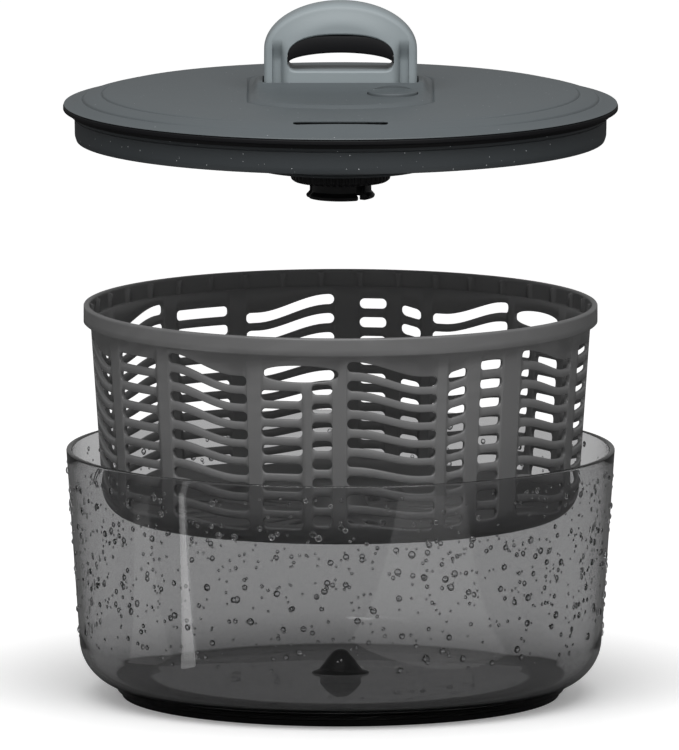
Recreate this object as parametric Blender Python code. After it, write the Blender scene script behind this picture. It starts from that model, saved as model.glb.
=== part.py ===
"""Salad spinner with a pump handle, laid out along its axis: bowl, half-lifted basket, raised lid.

Frame: Z up along the spin axis, the table at Z = 0, the front of the lid towards -Y.
Lengths in this file are millimetres; MM turns them into Blender's metres where a mesh is made.
The basket and the lid each slide straight down the axis until the spinner is closed.
"""

import math

import bmesh
import bpy

MM = 0.001

# Heights of the basket's foot and the lid's edge in the open layout
BASKET_REST = 86.4
LID_REST = 279.4

# Bowl
BOWL_RADIUS = 130.0
BOWL_HEIGHT = 118.0
BOWL_WALL = 2.5
BOWL_FLOOR = 8.0
BOWL_FOOT_RADIUS = 123.8
BOWL_CORNER = 22.0
CONE_RADIUS = 9.7
CONE_TIP = 21.6

# Basket, measured from the underside of its floor
BASKET_HEIGHT = 100.5
BASKET_FLOOR_RADIUS = 99.0
BASKET_CORNER = 14.0
BASKET_WALL = 2.0
BASKET_TOP_RADIUS = 118.4
RIM_RADIUS = 121.7
RIM_INSIDE = 118.9
RIM_DEPTH = 8.8
SLOT_ROWS = 8
SLOT_PITCH = 9.1
SLOT_HEIGHT = 4.9
TOP_SLOT = 86.5
RIB_PITCH = 9.0
RIB_TIP = 117.3

# Lid, measured from the edge of its flange
LID_RADIUS = 131.3
SKIRT_RADIUS = 125.9
SKIRT_DEPTH = 15.0
SHELL = 2.0
MOUND_HALF_WIDTH = 38.4
MOUND_TOP = 14.7
MOUND_REACH = 66.0
MOUND_SIDE = 40.0
SLIT_Y = -110.0
SLIT_HALF_WIDTH = 22.3
SLIT_HALF_DEPTH = 3.0

# Handle and its drive, measured from the edge of the lid's flange
STROKE = 20.0
TURN_PER_STROKE = 450.0
HANDLE_HALF_WIDTH = 36.2
HANDLE_HALF_DEPTH = 12.0
HANDLE_BOTTOM = 11.5
HANDLE_SHOULDER = 28.3
HANDLE_TOP = 51.5
HOLE_HALF_WIDTH = 25.1
HOLE_BOTTOM = 20.1
HOLE_TOP = 37.1
POST_X = 30.5
POST_RADIUS = 2.6
CARRIAGE_TOP = 11.2
CARRIAGE_DEPTH = 3.5
CARRIAGE_SCREW_X = 22.5
CHASSIS_RADIUS = 44.5
CHASSIS_TOP = 4.4
SCREW_ANGLES = (30.0, 150.0, 210.0, 330.0)
SCREW_RADIUS = 48.6
PLATE_TOP = -16.5
PLATE_BOTTOM = -18.5
POCKET_FLOOR = -20.0
HUB_RADIUS = 14.6
HUB_BOTTOM = -42.0
DISC_TOP = -23.5
DISC_BOTTOM = -26.0
DISC_RADIUS = 116.8
LUG_RADIUS = 118.0
KNURL_RADIUS = 23.6

# Brake
BUTTON_X = 24.6
BUTTON_Y = -27.0
BUTTON_RADIUS = 11.6
BUTTON_TOP = 12.6
BUTTON_UNDER = 8.2
STEM_END = -19.0

GAP = 0.3
LARGE_ROUND = 48
MIDDLE_ROUND = 32
SMALL_ROUND = 24
TINY_ROUND = 12


# ---------------------------------------------------------------- helpers


def look(name, colour, roughness, metallic=0.0, alpha=1.0):
    """A Principled material with one finish."""
    material = bpy.data.materials.new(name)
    material.use_nodes = True
    shader = material.node_tree.nodes["Principled BSDF"]
    shader.inputs["Base Color"].default_value = (*colour, 1.0)
    shader.inputs["Roughness"].default_value = roughness
    shader.inputs["Metallic"].default_value = metallic
    shader.inputs["Alpha"].default_value = alpha
    material.diffuse_color = (*colour, alpha)
    return material


def assembly(name, height):
    """An empty on the spin axis that carries one layer of the spinner."""
    empty = bpy.data.objects.new(name, None)
    empty.location = (0.0, 0.0, height * MM)
    bpy.context.scene.collection.objects.link(empty)
    return empty


def finish(name, build, parent, material, at=(0.0, 0.0)):
    """Turns a bmesh in millimetres into a smooth-shaded object whose origin is on the axis at `at`."""
    bmesh.ops.remove_doubles(build, verts=build.verts, dist=2e-3)
    bmesh.ops.recalc_face_normals(build, faces=build.faces)
    bmesh.ops.scale(build, vec=(MM, MM, MM), verts=build.verts)
    mesh = bpy.data.meshes.new(name)
    build.to_mesh(mesh)
    build.free()
    mesh.shade_smooth()
    mesh.set_sharp_from_angle(angle=math.radians(30))
    piece = bpy.data.objects.new(name, mesh)
    bpy.context.scene.collection.objects.link(piece)
    piece.parent = parent
    piece.location = (at[0] * MM, at[1] * MM, 0.0)
    if material is not None:
        mesh.materials.append(material)
    return piece


def turned_mesh(profile, segments, at=(0.0, 0.0)):
    """Spins (radius, height) points about Z. A profile that starts and ends on the axis stays open there."""
    build = bmesh.new()
    points = [build.verts.new((radius, 0.0, height)) for radius, height in profile]
    ends_on_axis = profile[0][0] == 0.0 and profile[-1][0] == 0.0
    pairs = list(zip(points, points[1:]))
    if not ends_on_axis:
        pairs.append((points[-1], points[0]))
    edges = [build.edges.new(pair) for pair in pairs]
    bmesh.ops.spin(
        build,
        geom=points + edges,
        cent=(0.0, 0.0, 0.0),
        axis=(0.0, 0.0, 1.0),
        angle=math.tau,
        steps=segments,
    )
    bmesh.ops.translate(build, vec=(at[0], at[1], 0.0), verts=build.verts)
    return build


def turned(name, profile, segments, parent, material, at=(0.0, 0.0)):
    return finish(name, turned_mesh(profile, segments), parent, material, at)


def prism_mesh(outline, low, high, along="Z"):
    """Extrudes a closed outline. Along Z the outline is (x, y); along X it is (y, z); along Y it is (x, z)."""
    build = bmesh.new()
    place = {
        "X": lambda a, b: (low, a, b),
        "Y": lambda a, b: (a, low, b),
        "Z": lambda a, b: (a, b, low),
    }[along]
    direction = {"X": (1, 0, 0), "Y": (0, 1, 0), "Z": (0, 0, 1)}[along]
    face = build.faces.new([build.verts.new(place(a, b)) for a, b in outline])
    made = bmesh.ops.extrude_face_region(build, geom=[face])
    moved = [item for item in made["geom"] if isinstance(item, bmesh.types.BMVert)]
    travel = [axis * (high - low) for axis in direction]
    bmesh.ops.translate(build, vec=travel, verts=moved)
    return build


def prism(name, outline, low, high, along, parent, material):
    return finish(name, prism_mesh(outline, low, high, along), parent, material)


def box_outline(half_a, half_b, centre=(0.0, 0.0)):
    a, b = centre
    return [
        (a - half_a, b - half_b),
        (a + half_a, b - half_b),
        (a + half_a, b + half_b),
        (a - half_a, b + half_b),
    ]


def arc(centre, radii, start, end, steps):
    """Points on an ellipse arc from `start` to `end` degrees, both ends included."""
    angles = [math.radians(start + (end - start) * i / steps) for i in range(steps + 1)]
    return [
        (centre[0] + radii[0] * math.cos(a), centre[1] + radii[1] * math.sin(a))
        for a in angles
    ]


def rounded_box(half_a, half_b, corner, steps=3, centre=(0.0, 0.0)):
    """A rectangle with round corners, counterclockwise."""
    points = []
    for sign_a, sign_b, start in ((1, 1, 0), (-1, 1, 90), (-1, -1, 180), (1, -1, 270)):
        middle = (
            centre[0] + sign_a * (half_a - corner),
            centre[1] + sign_b * (half_b - corner),
        )
        points += arc(middle, (corner, corner), start, start + 90, steps)
    return points


def helper(piece):
    """Marks a cutter or a joined shape, which isn't a piece of its own."""
    piece.hide_render = True
    piece.display_type = "WIRE"
    return piece


def combine(piece, other, operation):
    modifier = piece.modifiers.new(other.name, "BOOLEAN")
    modifier.object = helper(other)
    modifier.operation = operation
    modifier.solver = "EXACT"


def cut(piece, other):
    combine(piece, other, "DIFFERENCE")


def join(piece, other):
    combine(piece, other, "UNION")


def merge_meshes(builds):
    """One bmesh that holds several, which a Boolean then joins or cuts in one step."""
    whole = bmesh.new()
    for build in builds:
        mesh = bpy.data.meshes.new("scratch")
        build.to_mesh(mesh)
        build.free()
        whole.from_mesh(mesh)
        bpy.data.meshes.remove(mesh)
    return whole


def around(x, y, degrees):
    a = math.radians(degrees)
    return (x * math.cos(a) - y * math.sin(a), x * math.sin(a) + y * math.cos(a))


# ---------------------------------------------------------------- bowl


def make_bowl(parent, material):
    """Turned bowl with a rolled rim, a round corner and two ribs under the floor that hold the base ring."""
    underside = BOWL_FLOOR - BOWL_WALL
    corner_centre = (BOWL_FOOT_RADIUS - BOWL_CORNER, underside + BOWL_CORNER)
    inside_corner = BOWL_CORNER - BOWL_WALL
    outside = arc(corner_centre, (BOWL_CORNER,) * 2, -70, -5, 3)
    inside = arc(corner_centre, (inside_corner,) * 2, -5, -90, 3)
    profile = (
        [(6.2, underside), (93.0, underside), (93.0, 3.0), (95.1, 3.0), (95.1, underside)]
        + [(104.0, underside), (104.0, 3.0), (106.0, 3.0)]
        + outside
        + [(BOWL_RADIUS, BOWL_HEIGHT - 1.0), (BOWL_RADIUS - 0.7, BOWL_HEIGHT)]
        + [(BOWL_RADIUS - 2.0, BOWL_HEIGHT), (BOWL_RADIUS - 2.6, BOWL_HEIGHT - 0.8)]
        + inside
        + [(6.2, BOWL_FLOOR)]
    )
    return turned("bowl", profile, LARGE_ROUND, parent, material)


def make_pivot_cone(parent, material):
    """The pin in the middle of the bowl on which the basket turns, with a spigot through the floor."""
    seat = BOWL_FLOOR + GAP
    profile = [
        (0.0, CONE_TIP),
        (2.2, CONE_TIP - 0.4),
        (3.4, CONE_TIP - 1.6),
        (CONE_RADIUS, seat + 3.2),
        (CONE_RADIUS + 0.9, seat + 1.8),
        (13.7, seat + 0.7),
        (13.7, seat),
        (5.8, seat),
        (5.8, 5.8),
        (0.0, 5.8),
    ]
    return turned("pivot_cone", profile, SMALL_ROUND, parent, material)


def make_base_ring(parent, material):
    """Soft ring that the spinner stands on."""
    top = BOWL_FLOOR - BOWL_WALL - GAP
    profile = [(95.5, top), (95.5, 0.8), (96.3, 0.0), (102.9, 0.0), (103.7, 0.8), (103.7, top)]
    return turned("base_ring", profile, LARGE_ROUND, parent, material)


# ---------------------------------------------------------------- basket


def wall_radius(height):
    """Outside radius of the basket's slanted wall."""
    foot = BASKET_FLOOR_RADIUS + BASKET_CORNER
    share = (height - BASKET_CORNER) / (BASKET_HEIGHT - RIM_DEPTH - BASKET_CORNER)
    return foot + (BASKET_TOP_RADIUS - foot) * share


WAVE_COLUMNS = [(0.0, 0.0), (7.1, -2.2), (14.3, -5.8), (21.4, -8.0)]
# Between two waves: (degrees after the wave starts, drop of the slot lines there) and the open columns
SHORT_SLOTS = {
    "A": ([(24.7, -5.5), (29.7, -5.5), (34.6, -5.5), (36.8, -2.0), (41.6, -2.0)], {4, 5, 7}),
    "B": ([(24.1, -7.0), (29.0, -4.5), (32.6, -2.0), (39.0, -2.0)], {4, 6}),
    "C": ([(25.9, -4.0), (33.4, -4.0), (40.8, -4.0)], {4, 5}),
}
SECTORS = "ABCABCBC"
SECTOR_START = -43.5
DRAIN_COLUMNS = {0, 2}


def basket_columns():
    """(angle, drop of the slot lines, slotted?, drained?) for each column of the basket, once round."""
    columns = []
    for number, kind in enumerate(SECTORS):
        between, opened = SHORT_SLOTS[kind]
        start = SECTOR_START + 45.0 * number
        for index, (offset, drop) in enumerate(WAVE_COLUMNS + between):
            slotted = index < len(WAVE_COLUMNS) - 1 or index in opened
            columns.append((start + offset, drop, slotted, index in DRAIN_COLUMNS))
    return columns


def basket_rows(drop):
    """(outside point, inside point, kind) up the basket's section, from the hub to the rim."""
    foot = (BASKET_FLOOR_RADIUS, BASKET_CORNER)
    inner_corner = BASKET_CORNER - BASKET_WALL
    rows = [((16.0, 0.0), (16.0, BASKET_WALL), "solid")]
    for radius, kind in ((34.0, "drain"), (54.0, "solid"), (62.0, "drain"), (84.0, "solid")):
        rows.append(((radius, 0.0), (radius, BASKET_WALL), kind))
    outer = arc(foot, (BASKET_CORNER,) * 2, -90, 0, 3)
    inner = arc(foot, (inner_corner,) * 2, -90, 0, 3)
    rows += [(a, b, "solid") for a, b in zip(outer, inner)]
    for row in range(SLOT_ROWS):
        middle = TOP_SLOT - SLOT_PITCH * (SLOT_ROWS - 1 - row)
        shift = drop * (0.45 + 0.55 * row / (SLOT_ROWS - 1))
        for edge, kind in ((-0.5, "slot"), (0.5, "solid")):
            height = middle + shift + edge * SLOT_HEIGHT
            radius = wall_radius(height)
            rows.append(((radius, height), (radius - BASKET_WALL, height), kind))
    under = BASKET_HEIGHT - RIM_DEPTH
    ledge = under + 0.8
    rows += [
        ((BASKET_TOP_RADIUS, under), (BASKET_TOP_RADIUS - BASKET_WALL, ledge), "solid"),
        ((RIM_RADIUS, under), (RIM_INSIDE, ledge), "solid"),
        ((RIM_RADIUS, BASKET_HEIGHT - 0.5), (RIM_INSIDE, BASKET_HEIGHT - 0.5), "solid"),
        ((RIM_RADIUS - 0.5, BASKET_HEIGHT), (RIM_INSIDE + 0.5, BASKET_HEIGHT), "solid"),
    ]
    return rows


def make_basket(parent, material):
    """A shell of two matching sheets whose open cells are walled through, joined at the rim."""
    columns = basket_columns()
    sections = [basket_rows(drop) for _, drop, _, _ in columns]
    kinds = [kind for _, _, kind in sections[0]]
    build = bmesh.new()
    sheets = ([], [])
    for (angle, _, _, _), section in zip(columns, sections):
        turn = math.radians(angle - 90.0)
        for side, sheet in enumerate(sheets):
            points = [row[side] for row in section]
            sheet.append(
                [build.verts.new((r * math.cos(turn), r * math.sin(turn), z)) for r, z in points]
            )
    count = len(columns)
    last = len(kinds) - 1

    def is_open(column, row):
        if not 0 <= row < last:
            return False
        _, _, slotted, drained = columns[column % count]
        return (kinds[row] == "slot" and slotted) or (kinds[row] == "drain" and drained)

    for column in range(count):
        following = (column + 1) % count
        for row in range(last):
            corners = ((column, row), (following, row), (following, row + 1), (column, row + 1))
            if not is_open(column, row):
                for sheet in sheets:
                    build.faces.new([sheet[c][r] for c, r in corners])
                continue
            neighbours = ((column, row - 1), (column + 1, row), (column, row + 1), (column - 1, row))
            for index, neighbour in enumerate(neighbours):
                if not is_open(*neighbour):
                    (c0, r0), (c1, r1) = corners[index], corners[(index + 1) % 4]
                    outer, inner = sheets
                    build.faces.new([outer[c0][r0], outer[c1][r1], inner[c1][r1], inner[c0][r0]])
        for row in (0, last):
            build.faces.new(
                [sheets[0][column][row], sheets[0][following][row]]
                + [sheets[1][following][row], sheets[1][column][row]]
            )
    basket = finish("basket", build, parent, material)
    join(basket, basket_hub(parent))
    join(basket, rim_ribs(parent))
    return basket


def basket_hub(parent):
    """Dome in the middle of the floor, hollow below for the bearing cup."""
    roof = [(0.0, 13.2), (7.4, 12.6), (13.6, 3.6), (15.0, 1.7), (18.5, 1.7), (18.5, 0.3)]
    hollow = [(13.0, 0.3), (13.0, 2.2), (11.0, 2.2), (5.9, 10.8), (0.0, 11.0)]
    return turned("basket_hub", roof + hollow, SMALL_ROUND, parent, None)


def rim_ribs(parent):
    """Upright ribs inside the rim, which the lid's drive lugs push on."""
    ribs = []
    root = RIM_INSIDE + 1.2
    ledge = BASKET_HEIGHT - RIM_DEPTH + 0.8
    for number in range(int(360 / RIB_PITCH)):
        outline = box_outline((root - RIB_TIP) / 2, 1.0, ((root + RIB_TIP) / 2, 0.0))
        turned_outline = [around(x, y, RIB_PITCH * (number + 0.5)) for x, y in outline]
        ribs.append(prism_mesh(turned_outline, ledge - 0.4, BASKET_HEIGHT - 1.4))
    return finish("rim_ribs", merge_meshes(ribs), parent, None)


def make_pivot_cap(parent, material):
    """Bearing cup clipped under the basket's floor, which sits on the bowl's pivot cone."""
    profile = [
        (0.0, 10.6),
        (5.5, 10.4),
        (10.6, 1.8),
        (12.6, 1.8),
        (12.6, 0.4),
        (8.9, 0.4),
        (3.6, 7.6),
        (0.0, 8.0),
    ]
    return turned("pivot_cap", profile, SMALL_ROUND, parent, material)


# ---------------------------------------------------------------- lid


def lid_top(radius):
    """Height of the lid's upper face at a radius: a low dome inside two shallow steps."""
    steps = [(130.8, 2.9), (125.5, 4.2), (122.2, 5.75), (113.0, 8.2), (70.0, 9.2), (0.0, 9.6)]
    for (r0, z0), (r1, z1) in zip(steps, steps[1:]):
        if r1 <= radius <= r0:
            return z0 + (z1 - z0) * (r0 - radius) / (r0 - r1)
    return steps[0][1]


def mound_outline(inset, base):
    """Side view (y, z) of the raised mound round the handle; `inset` moves it inwards all round."""
    reach = MOUND_REACH - inset
    low_end, foot, top = 9.9 - inset, 11.2 - inset, MOUND_TOP - inset
    front = [(-reach, base), (-reach, low_end), (-25.0, foot), (-12.0, top)]
    return front + [(-y, z) for y, z in reversed(front)]


def mound_plan(inset):
    """Plan (x, y) that rounds the mound's front and back ends into half ellipses."""
    radii = (MOUND_HALF_WIDTH + 1.0 - inset, MOUND_REACH - MOUND_SIDE - 0.1 - inset)
    back = arc((0.0, MOUND_SIDE), radii, 0, 180, 20)
    front = arc((0.0, -MOUND_SIDE), radii, 180, 360, 20)
    return back + front


def make_lid_shell(parent, material):
    """The lid's top cover, with a mound that guides the handle, the button's hole and a front slit."""
    radii = [0.0, 70.0, 113.0, 122.2, 125.5, 130.8]
    upper = [(radius, lid_top(radius)) for radius in radii]
    lower = [(radius, lid_top(radius) - SHELL) for radius in radii[:4]]
    flange_under = 2.9
    profile = upper + [(126.3, flange_under), (124.3, flange_under - 0.6)] + lower[::-1]
    shell = turned("lid_shell", profile, LARGE_ROUND, parent, material)
    for inset, base, change in ((0.0, 7.6, join), (SHELL, 2.0, cut)):
        half = MOUND_HALF_WIDTH - inset
        mound = prism("mound", mound_outline(inset, base), -half, half, "X", parent, None)
        rounding = prism("mound_rounding", mound_plan(inset), 0.0, 20.0, "Z", parent, None)
        combine(mound, rounding, "INTERSECT")
        change(shell, mound)
    slot = rounded_box(HANDLE_HALF_WIDTH + 0.7, HANDLE_HALF_DEPTH + 0.6, 2.5)
    cut(shell, prism("handle_slot", slot, 2.0, 20.0, "Z", parent, None))
    hole = [(0.0, 2.0), (BUTTON_RADIUS + 0.5, 2.0), (BUTTON_RADIUS + 0.5, 20.0), (0.0, 20.0)]
    at = (BUTTON_X, BUTTON_Y)
    cut(shell, turned("button_hole", hole, SMALL_ROUND, parent, None, at))
    slit = rounded_box(SLIT_HALF_WIDTH, SLIT_HALF_DEPTH, 2.9, centre=(0.0, SLIT_Y))
    cut(shell, prism("front_slit", slit, 0.0, 12.0, "Z", parent, None))
    foot = CHASSIS_TOP + GAP
    boss = [(0.0, 8.2), (3.4, 8.2), (3.4, foot), (0.0, foot)]
    bore = [(0.0, 8.0), (1.6, 8.0), (1.6, foot - 1.0), (0.0, foot - 1.0)]
    places = [around(SCREW_RADIUS, 0.0, angle) for angle in SCREW_ANGLES]
    bosses = [turned_mesh(boss, TINY_ROUND, place) for place in places]
    join(shell, finish("screw_bosses", merge_meshes(bosses), parent, None))
    bores = [turned_mesh(bore, TINY_ROUND, place) for place in places]
    cut(shell, finish("screw_bores", merge_meshes(bores), parent, None))
    return shell


def make_rim_seal(parent, material):
    """Soft ring under the lid's flange that closes on the bowl's rim."""
    profile = [
        (126.6, 2.5),
        (LID_RADIUS - 0.4, 2.5),
        (LID_RADIUS, 2.1),
        (LID_RADIUS, 0.4),
        (129.4, -0.6),
        (129.4, -2.6),
        (126.6, -2.6),
    ]
    return turned("rim_seal", profile, LARGE_ROUND, parent, material)


def make_lid_skirt(parent, material):
    """Wall under the lid that drops inside the bowl, with a flange that is welded to the shell."""
    inner = SKIRT_RADIUS - 1.9
    profile = [
        (SKIRT_RADIUS, 1.9),
        (SKIRT_RADIUS, -SKIRT_DEPTH + 2.2),
        (SKIRT_RADIUS - 0.9, -SKIRT_DEPTH),
        (inner, -SKIRT_DEPTH),
        (inner, 0.1),
        (116.0, 0.1),
        (116.0, 1.9),
    ]
    return turned("lid_skirt", profile, LARGE_ROUND, parent, material)



def make_chassis(parent, material):
    """Cup under the mound that carries the drive: floor, wall, fixing flange, spring pockets and guides."""
    wall = CHASSIS_RADIUS - 2.0
    bore = HUB_RADIUS + 0.6
    profile = [
        (bore, PLATE_TOP),
        (wall, PLATE_TOP),
        (wall, CHASSIS_TOP),
        (52.0, CHASSIS_TOP),
        (52.0, CHASSIS_TOP - 2.0),
        (CHASSIS_RADIUS, CHASSIS_TOP - 2.0),
        (CHASSIS_RADIUS, PLATE_BOTTOM),
        (bore, PLATE_BOTTOM),
    ]
    chassis = turned("mechanism_chassis", profile, MIDDLE_ROUND, parent, material)
    pockets = []
    wells = []
    for side in (-1.0, 1.0):
        at = (side * POST_X, 0.0)
        pocket = [(0.0, POCKET_FLOOR - 1.5), (7.2, POCKET_FLOOR - 1.5), (7.2, PLATE_TOP - 0.5)]
        pockets.append(turned_mesh(pocket + [(0.0, PLATE_TOP - 0.5)], SMALL_ROUND, at))
        well = [(0.0, POCKET_FLOOR), (5.7, POCKET_FLOOR), (5.7, PLATE_TOP + 2.0)]
        wells.append(turned_mesh(well + [(0.0, PLATE_TOP + 2.0)], SMALL_ROUND, at))
    join(chassis, finish("spring_pockets", merge_meshes(pockets), parent, None))
    cut(chassis, finish("spring_wells", merge_meshes(wells), parent, None))
    stem = [(0.0, PLATE_BOTTOM - 1.0), (3.5, PLATE_BOTTOM - 1.0), (3.5, PLATE_TOP + 1.0)]
    stem.append((0.0, PLATE_TOP + 1.0))
    cut(chassis, turned("stem_hole", stem, TINY_ROUND, parent, None, (BUTTON_X, BUTTON_Y)))
    screw_hole = [(0.0, 1.0), (1.8, 1.0), (1.8, 6.0), (0.0, 6.0)]
    places = [around(SCREW_RADIUS, 0.0, angle) for angle in SCREW_ANGLES]
    holes = [turned_mesh(screw_hole, TINY_ROUND, place) for place in places]
    cut(chassis, finish("screw_holes", merge_meshes(holes), parent, None))
    return chassis


def make_guide_post(name, side, parent, material):
    """Steel post that keeps the handle upright. Its foot stands in the spring pocket."""
    foot = POCKET_FLOOR + GAP
    profile = [(0.0, foot), (POST_RADIUS, foot), (POST_RADIUS, 12.6), (1.9, 13.2), (0.0, 13.2)]
    return turned(name, profile, TINY_ROUND, parent, material, (side * POST_X, 0.0))


def make_spring(name, at, low, high, radius, wire, turns, parent, material):
    """Helical compression spring, one closed tube along a coil."""
    per_turn = 8
    count = turns * per_turn + 1
    curve = bpy.data.curves.new(name, "CURVE")
    curve.dimensions = "3D"
    curve.bevel_depth = wire * MM
    curve.bevel_resolution = 0
    curve.use_fill_caps = True
    coil = curve.splines.new("POLY")
    coil.points.add(count - 1)
    for number, point in enumerate(coil.points):
        share = number / (count - 1)
        angle = math.tau * turns * share
        height = low + wire + (high - low - 2 * wire) * share
        spot = (radius * math.cos(angle), radius * math.sin(angle), height)
        point.co = (*[value * MM for value in spot], 1.0)
    curve.materials.append(material)
    spring = bpy.data.objects.new(name, curve)
    bpy.context.scene.collection.objects.link(spring)
    spring.parent = parent
    spring.location = (at[0] * MM, at[1] * MM, 0.0)
    return spring


def make_screw(name, at, head_z, length, up, parent, material):
    """Pan-head screw. `up` is 1 where the shank points up from the head and -1 where it points down."""
    profile = [
        (0.0, head_z - up * 1.6),
        (1.9, head_z - up * 1.5),
        (2.7, head_z - up * 0.6),
        (2.7, head_z),
        (1.3, head_z),
        (1.3, head_z + up * length),
        (0.0, head_z + up * (length + 0.8)),
    ]
    return turned(name, profile, TINY_ROUND, parent, material, at)


# ---------------------------------------------------------------- handle


def handle_outline(half_width, shoulder, top, bottom):
    """Front view (x, z) of the arch: straight legs under half an ellipse."""
    crown = arc((0.0, shoulder), (half_width, top - shoulder), 0, 180, 14)
    return [(-half_width, bottom), (half_width, bottom)] + crown


def finger_hole(inset):
    """Front view (x, z) of the opening through the handle; `inset` makes it smaller all round."""
    half = HOLE_HALF_WIDTH - inset
    low = HOLE_BOTTOM + inset
    top = HOLE_TOP - inset
    corner = 4.0
    spring = 26.0
    right = arc((half - corner, low + corner), (corner, corner), -90, 0, 2)
    left = arc((-half + corner, low + corner), (corner, corner), 180, 270, 2)
    return right + arc((0.0, spring), (half, top - spring), 0, 180, 10) + left


def make_handle_shell(parent, material):
    """The arch that is pumped: a thick middle, a rail along each leg and a groove between them."""
    half = HANDLE_HALF_WIDTH
    outline = handle_outline(half, HANDLE_SHOULDER, HANDLE_TOP, HANDLE_BOTTOM)
    shell = prism("handle_shell", outline, -9.4, 9.4, "Y", parent, material)
    middle = handle_outline(27.8, HANDLE_SHOULDER + 3.0, HANDLE_TOP - 1.5, HANDLE_BOTTOM + 0.2)
    depth = HANDLE_HALF_DEPTH
    join(shell, prism("handle_middle", middle, -depth, depth, "Y", parent, None))
    grooves = []
    for side in (-1.0, 1.0):
        for face in (-1.0, 1.0):
            outline = box_outline(2.05, 4.0, (side * 29.9, face * 10.0))
            grooves.append(prism_mesh(outline, HANDLE_BOTTOM - 1.0, 31.0))
    cut(shell, finish("handle_grooves", merge_meshes(grooves), parent, None))
    cut(shell, prism("finger_hole", finger_hole(0.0), -14.0, 14.0, "Y", parent, None))
    bores = []
    for side in (-1.0, 1.0):
        at = (side * POST_X, 0.0)
        top = 13.2 + GAP + STROKE
        bore = [(0.0, HANDLE_BOTTOM - 1.0), (3.2, HANDLE_BOTTOM - 1.0), (3.2, top), (0.0, top)]
        bores.append(turned_mesh(bore, TINY_ROUND, at))
        low = HANDLE_BOTTOM - 1.0
        screw = [(0.0, low), (1.6, low), (1.6, low + 7.4), (0.0, low + 7.4)]
        bores.append(turned_mesh(screw, TINY_ROUND, (side * CARRIAGE_SCREW_X, 0.0)))
    cut(shell, finish("handle_bores", merge_meshes(bores), parent, None))
    return shell


def make_handle_grip(parent, material):
    """Soft insert that fills the top of the opening and leaves a low arch for the fingers."""
    arch = arc((0.0, 21.6), (HOLE_HALF_WIDTH - 0.9, 6.9), 169, 11, 12)
    hole = [point for point in finger_hole(GAP) if point[1] > 23.2]
    middle = len(hole) // 2
    right = [point for point in hole[:middle] if point[0] > 0]
    left = [point for point in hole[middle:] if point[0] <= 0]
    outline = arch + right + left
    return prism("handle_grip", outline, -11.2, 11.2, "Y", parent, material)


def make_carriage(parent, material):
    """Plate under the handle that runs on the posts, presses the springs and holds the spindle."""
    low = CARRIAGE_TOP - CARRIAGE_DEPTH
    outline = rounded_box(35.8, 15.0, 4.0)
    plate = prism("handle_carriage", outline, low, CARRIAGE_TOP, "Z", parent, material)
    holes = []
    for side in (-1.0, 1.0):
        post = [(0.0, low - 1), (3.1, low - 1), (3.1, CARRIAGE_TOP + 1), (0.0, CARRIAGE_TOP + 1)]
        holes.append(turned_mesh(post, TINY_ROUND, (side * POST_X, 0.0)))
        screw = [(0.0, low - 1), (1.6, low - 1), (1.6, CARRIAGE_TOP + 1), (0.0, CARRIAGE_TOP + 1)]
        holes.append(turned_mesh(screw, TINY_ROUND, (side * CARRIAGE_SCREW_X, 0.0)))
    tang = box_outline(4.3, 1.8)
    holes.append(prism_mesh(tang, low - 1.0, low + 2.0))
    cut(plate, finish("carriage_holes", merge_meshes(holes), parent, None))
    return plate


def twisted_bar(half_width, half_depth, low, high):
    """Flat bar twisted about Z by the drive's lead, untwisted angle at its own height zero."""
    lead = TURN_PER_STROKE / STROKE
    steps = math.ceil((high - low) * lead / 18.0)
    build = bmesh.new()
    corners = box_outline(half_width, half_depth)
    rings = []
    for step in range(steps + 1):
        height = low + (high - low) * step / steps
        points = [around(x, y, lead * height) for x, y in corners]
        rings.append([build.verts.new((x, y, height)) for x, y in points])
    for under, over in zip(rings, rings[1:]):
        for index in range(4):
            after = (index + 1) % 4
            quad = [under[index], under[after], over[after], over[index]]
            build.faces.new(quad)
    build.faces.new(rings[0][::-1])
    build.faces.new(rings[-1])
    return build


def make_spindle(parent, material):
    """Twisted steel bar under the carriage; pushing it through the nut turns the nut."""
    top = CARRIAGE_TOP - CARRIAGE_DEPTH - GAP
    spindle = finish("twist_spindle", twisted_bar(4.0, 1.5, -22.0, top), parent, material)
    tang = prism("spindle_tang", box_outline(3.9, 1.4), top - 2.0, top + 2.0, "Z", parent, None)
    join(spindle, tang)
    return spindle


def make_drive_nut(parent, material):
    """Round nut with a twisted slot for the spindle and three ratchet noses."""
    low, high = -20.2, -14.8
    profile = [(0.0, low), (9.6, low), (9.6, high), (0.0, high)]
    nut = turned("drive_nut", profile, SMALL_ROUND, parent, material)
    noses = []
    for number in range(3):
        outline = [around(x, y, 120.0 * number) for x, y in ((8.8, -2.4), (10.9, 1.6), (8.8, 2.4))]
        noses.append(prism_mesh(outline, low + 0.6, high - 0.6))
    join(nut, finish("ratchet_noses", merge_meshes(noses), parent, None))
    cut(nut, finish("nut_slot", twisted_bar(4.6, 2.1, low - 2.0, high + 2.0), parent, None))
    return nut


def make_nut_retainer(parent, material):
    """Snap ring that keeps the nut down in the hub."""
    profile = [(6.4, -14.4), (11.1, -14.4), (11.1, -12.9), (6.4, -12.9)]
    return turned("nut_retainer", profile, SMALL_ROUND, parent, material)


# ---------------------------------------------------------------- drive hub


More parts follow.
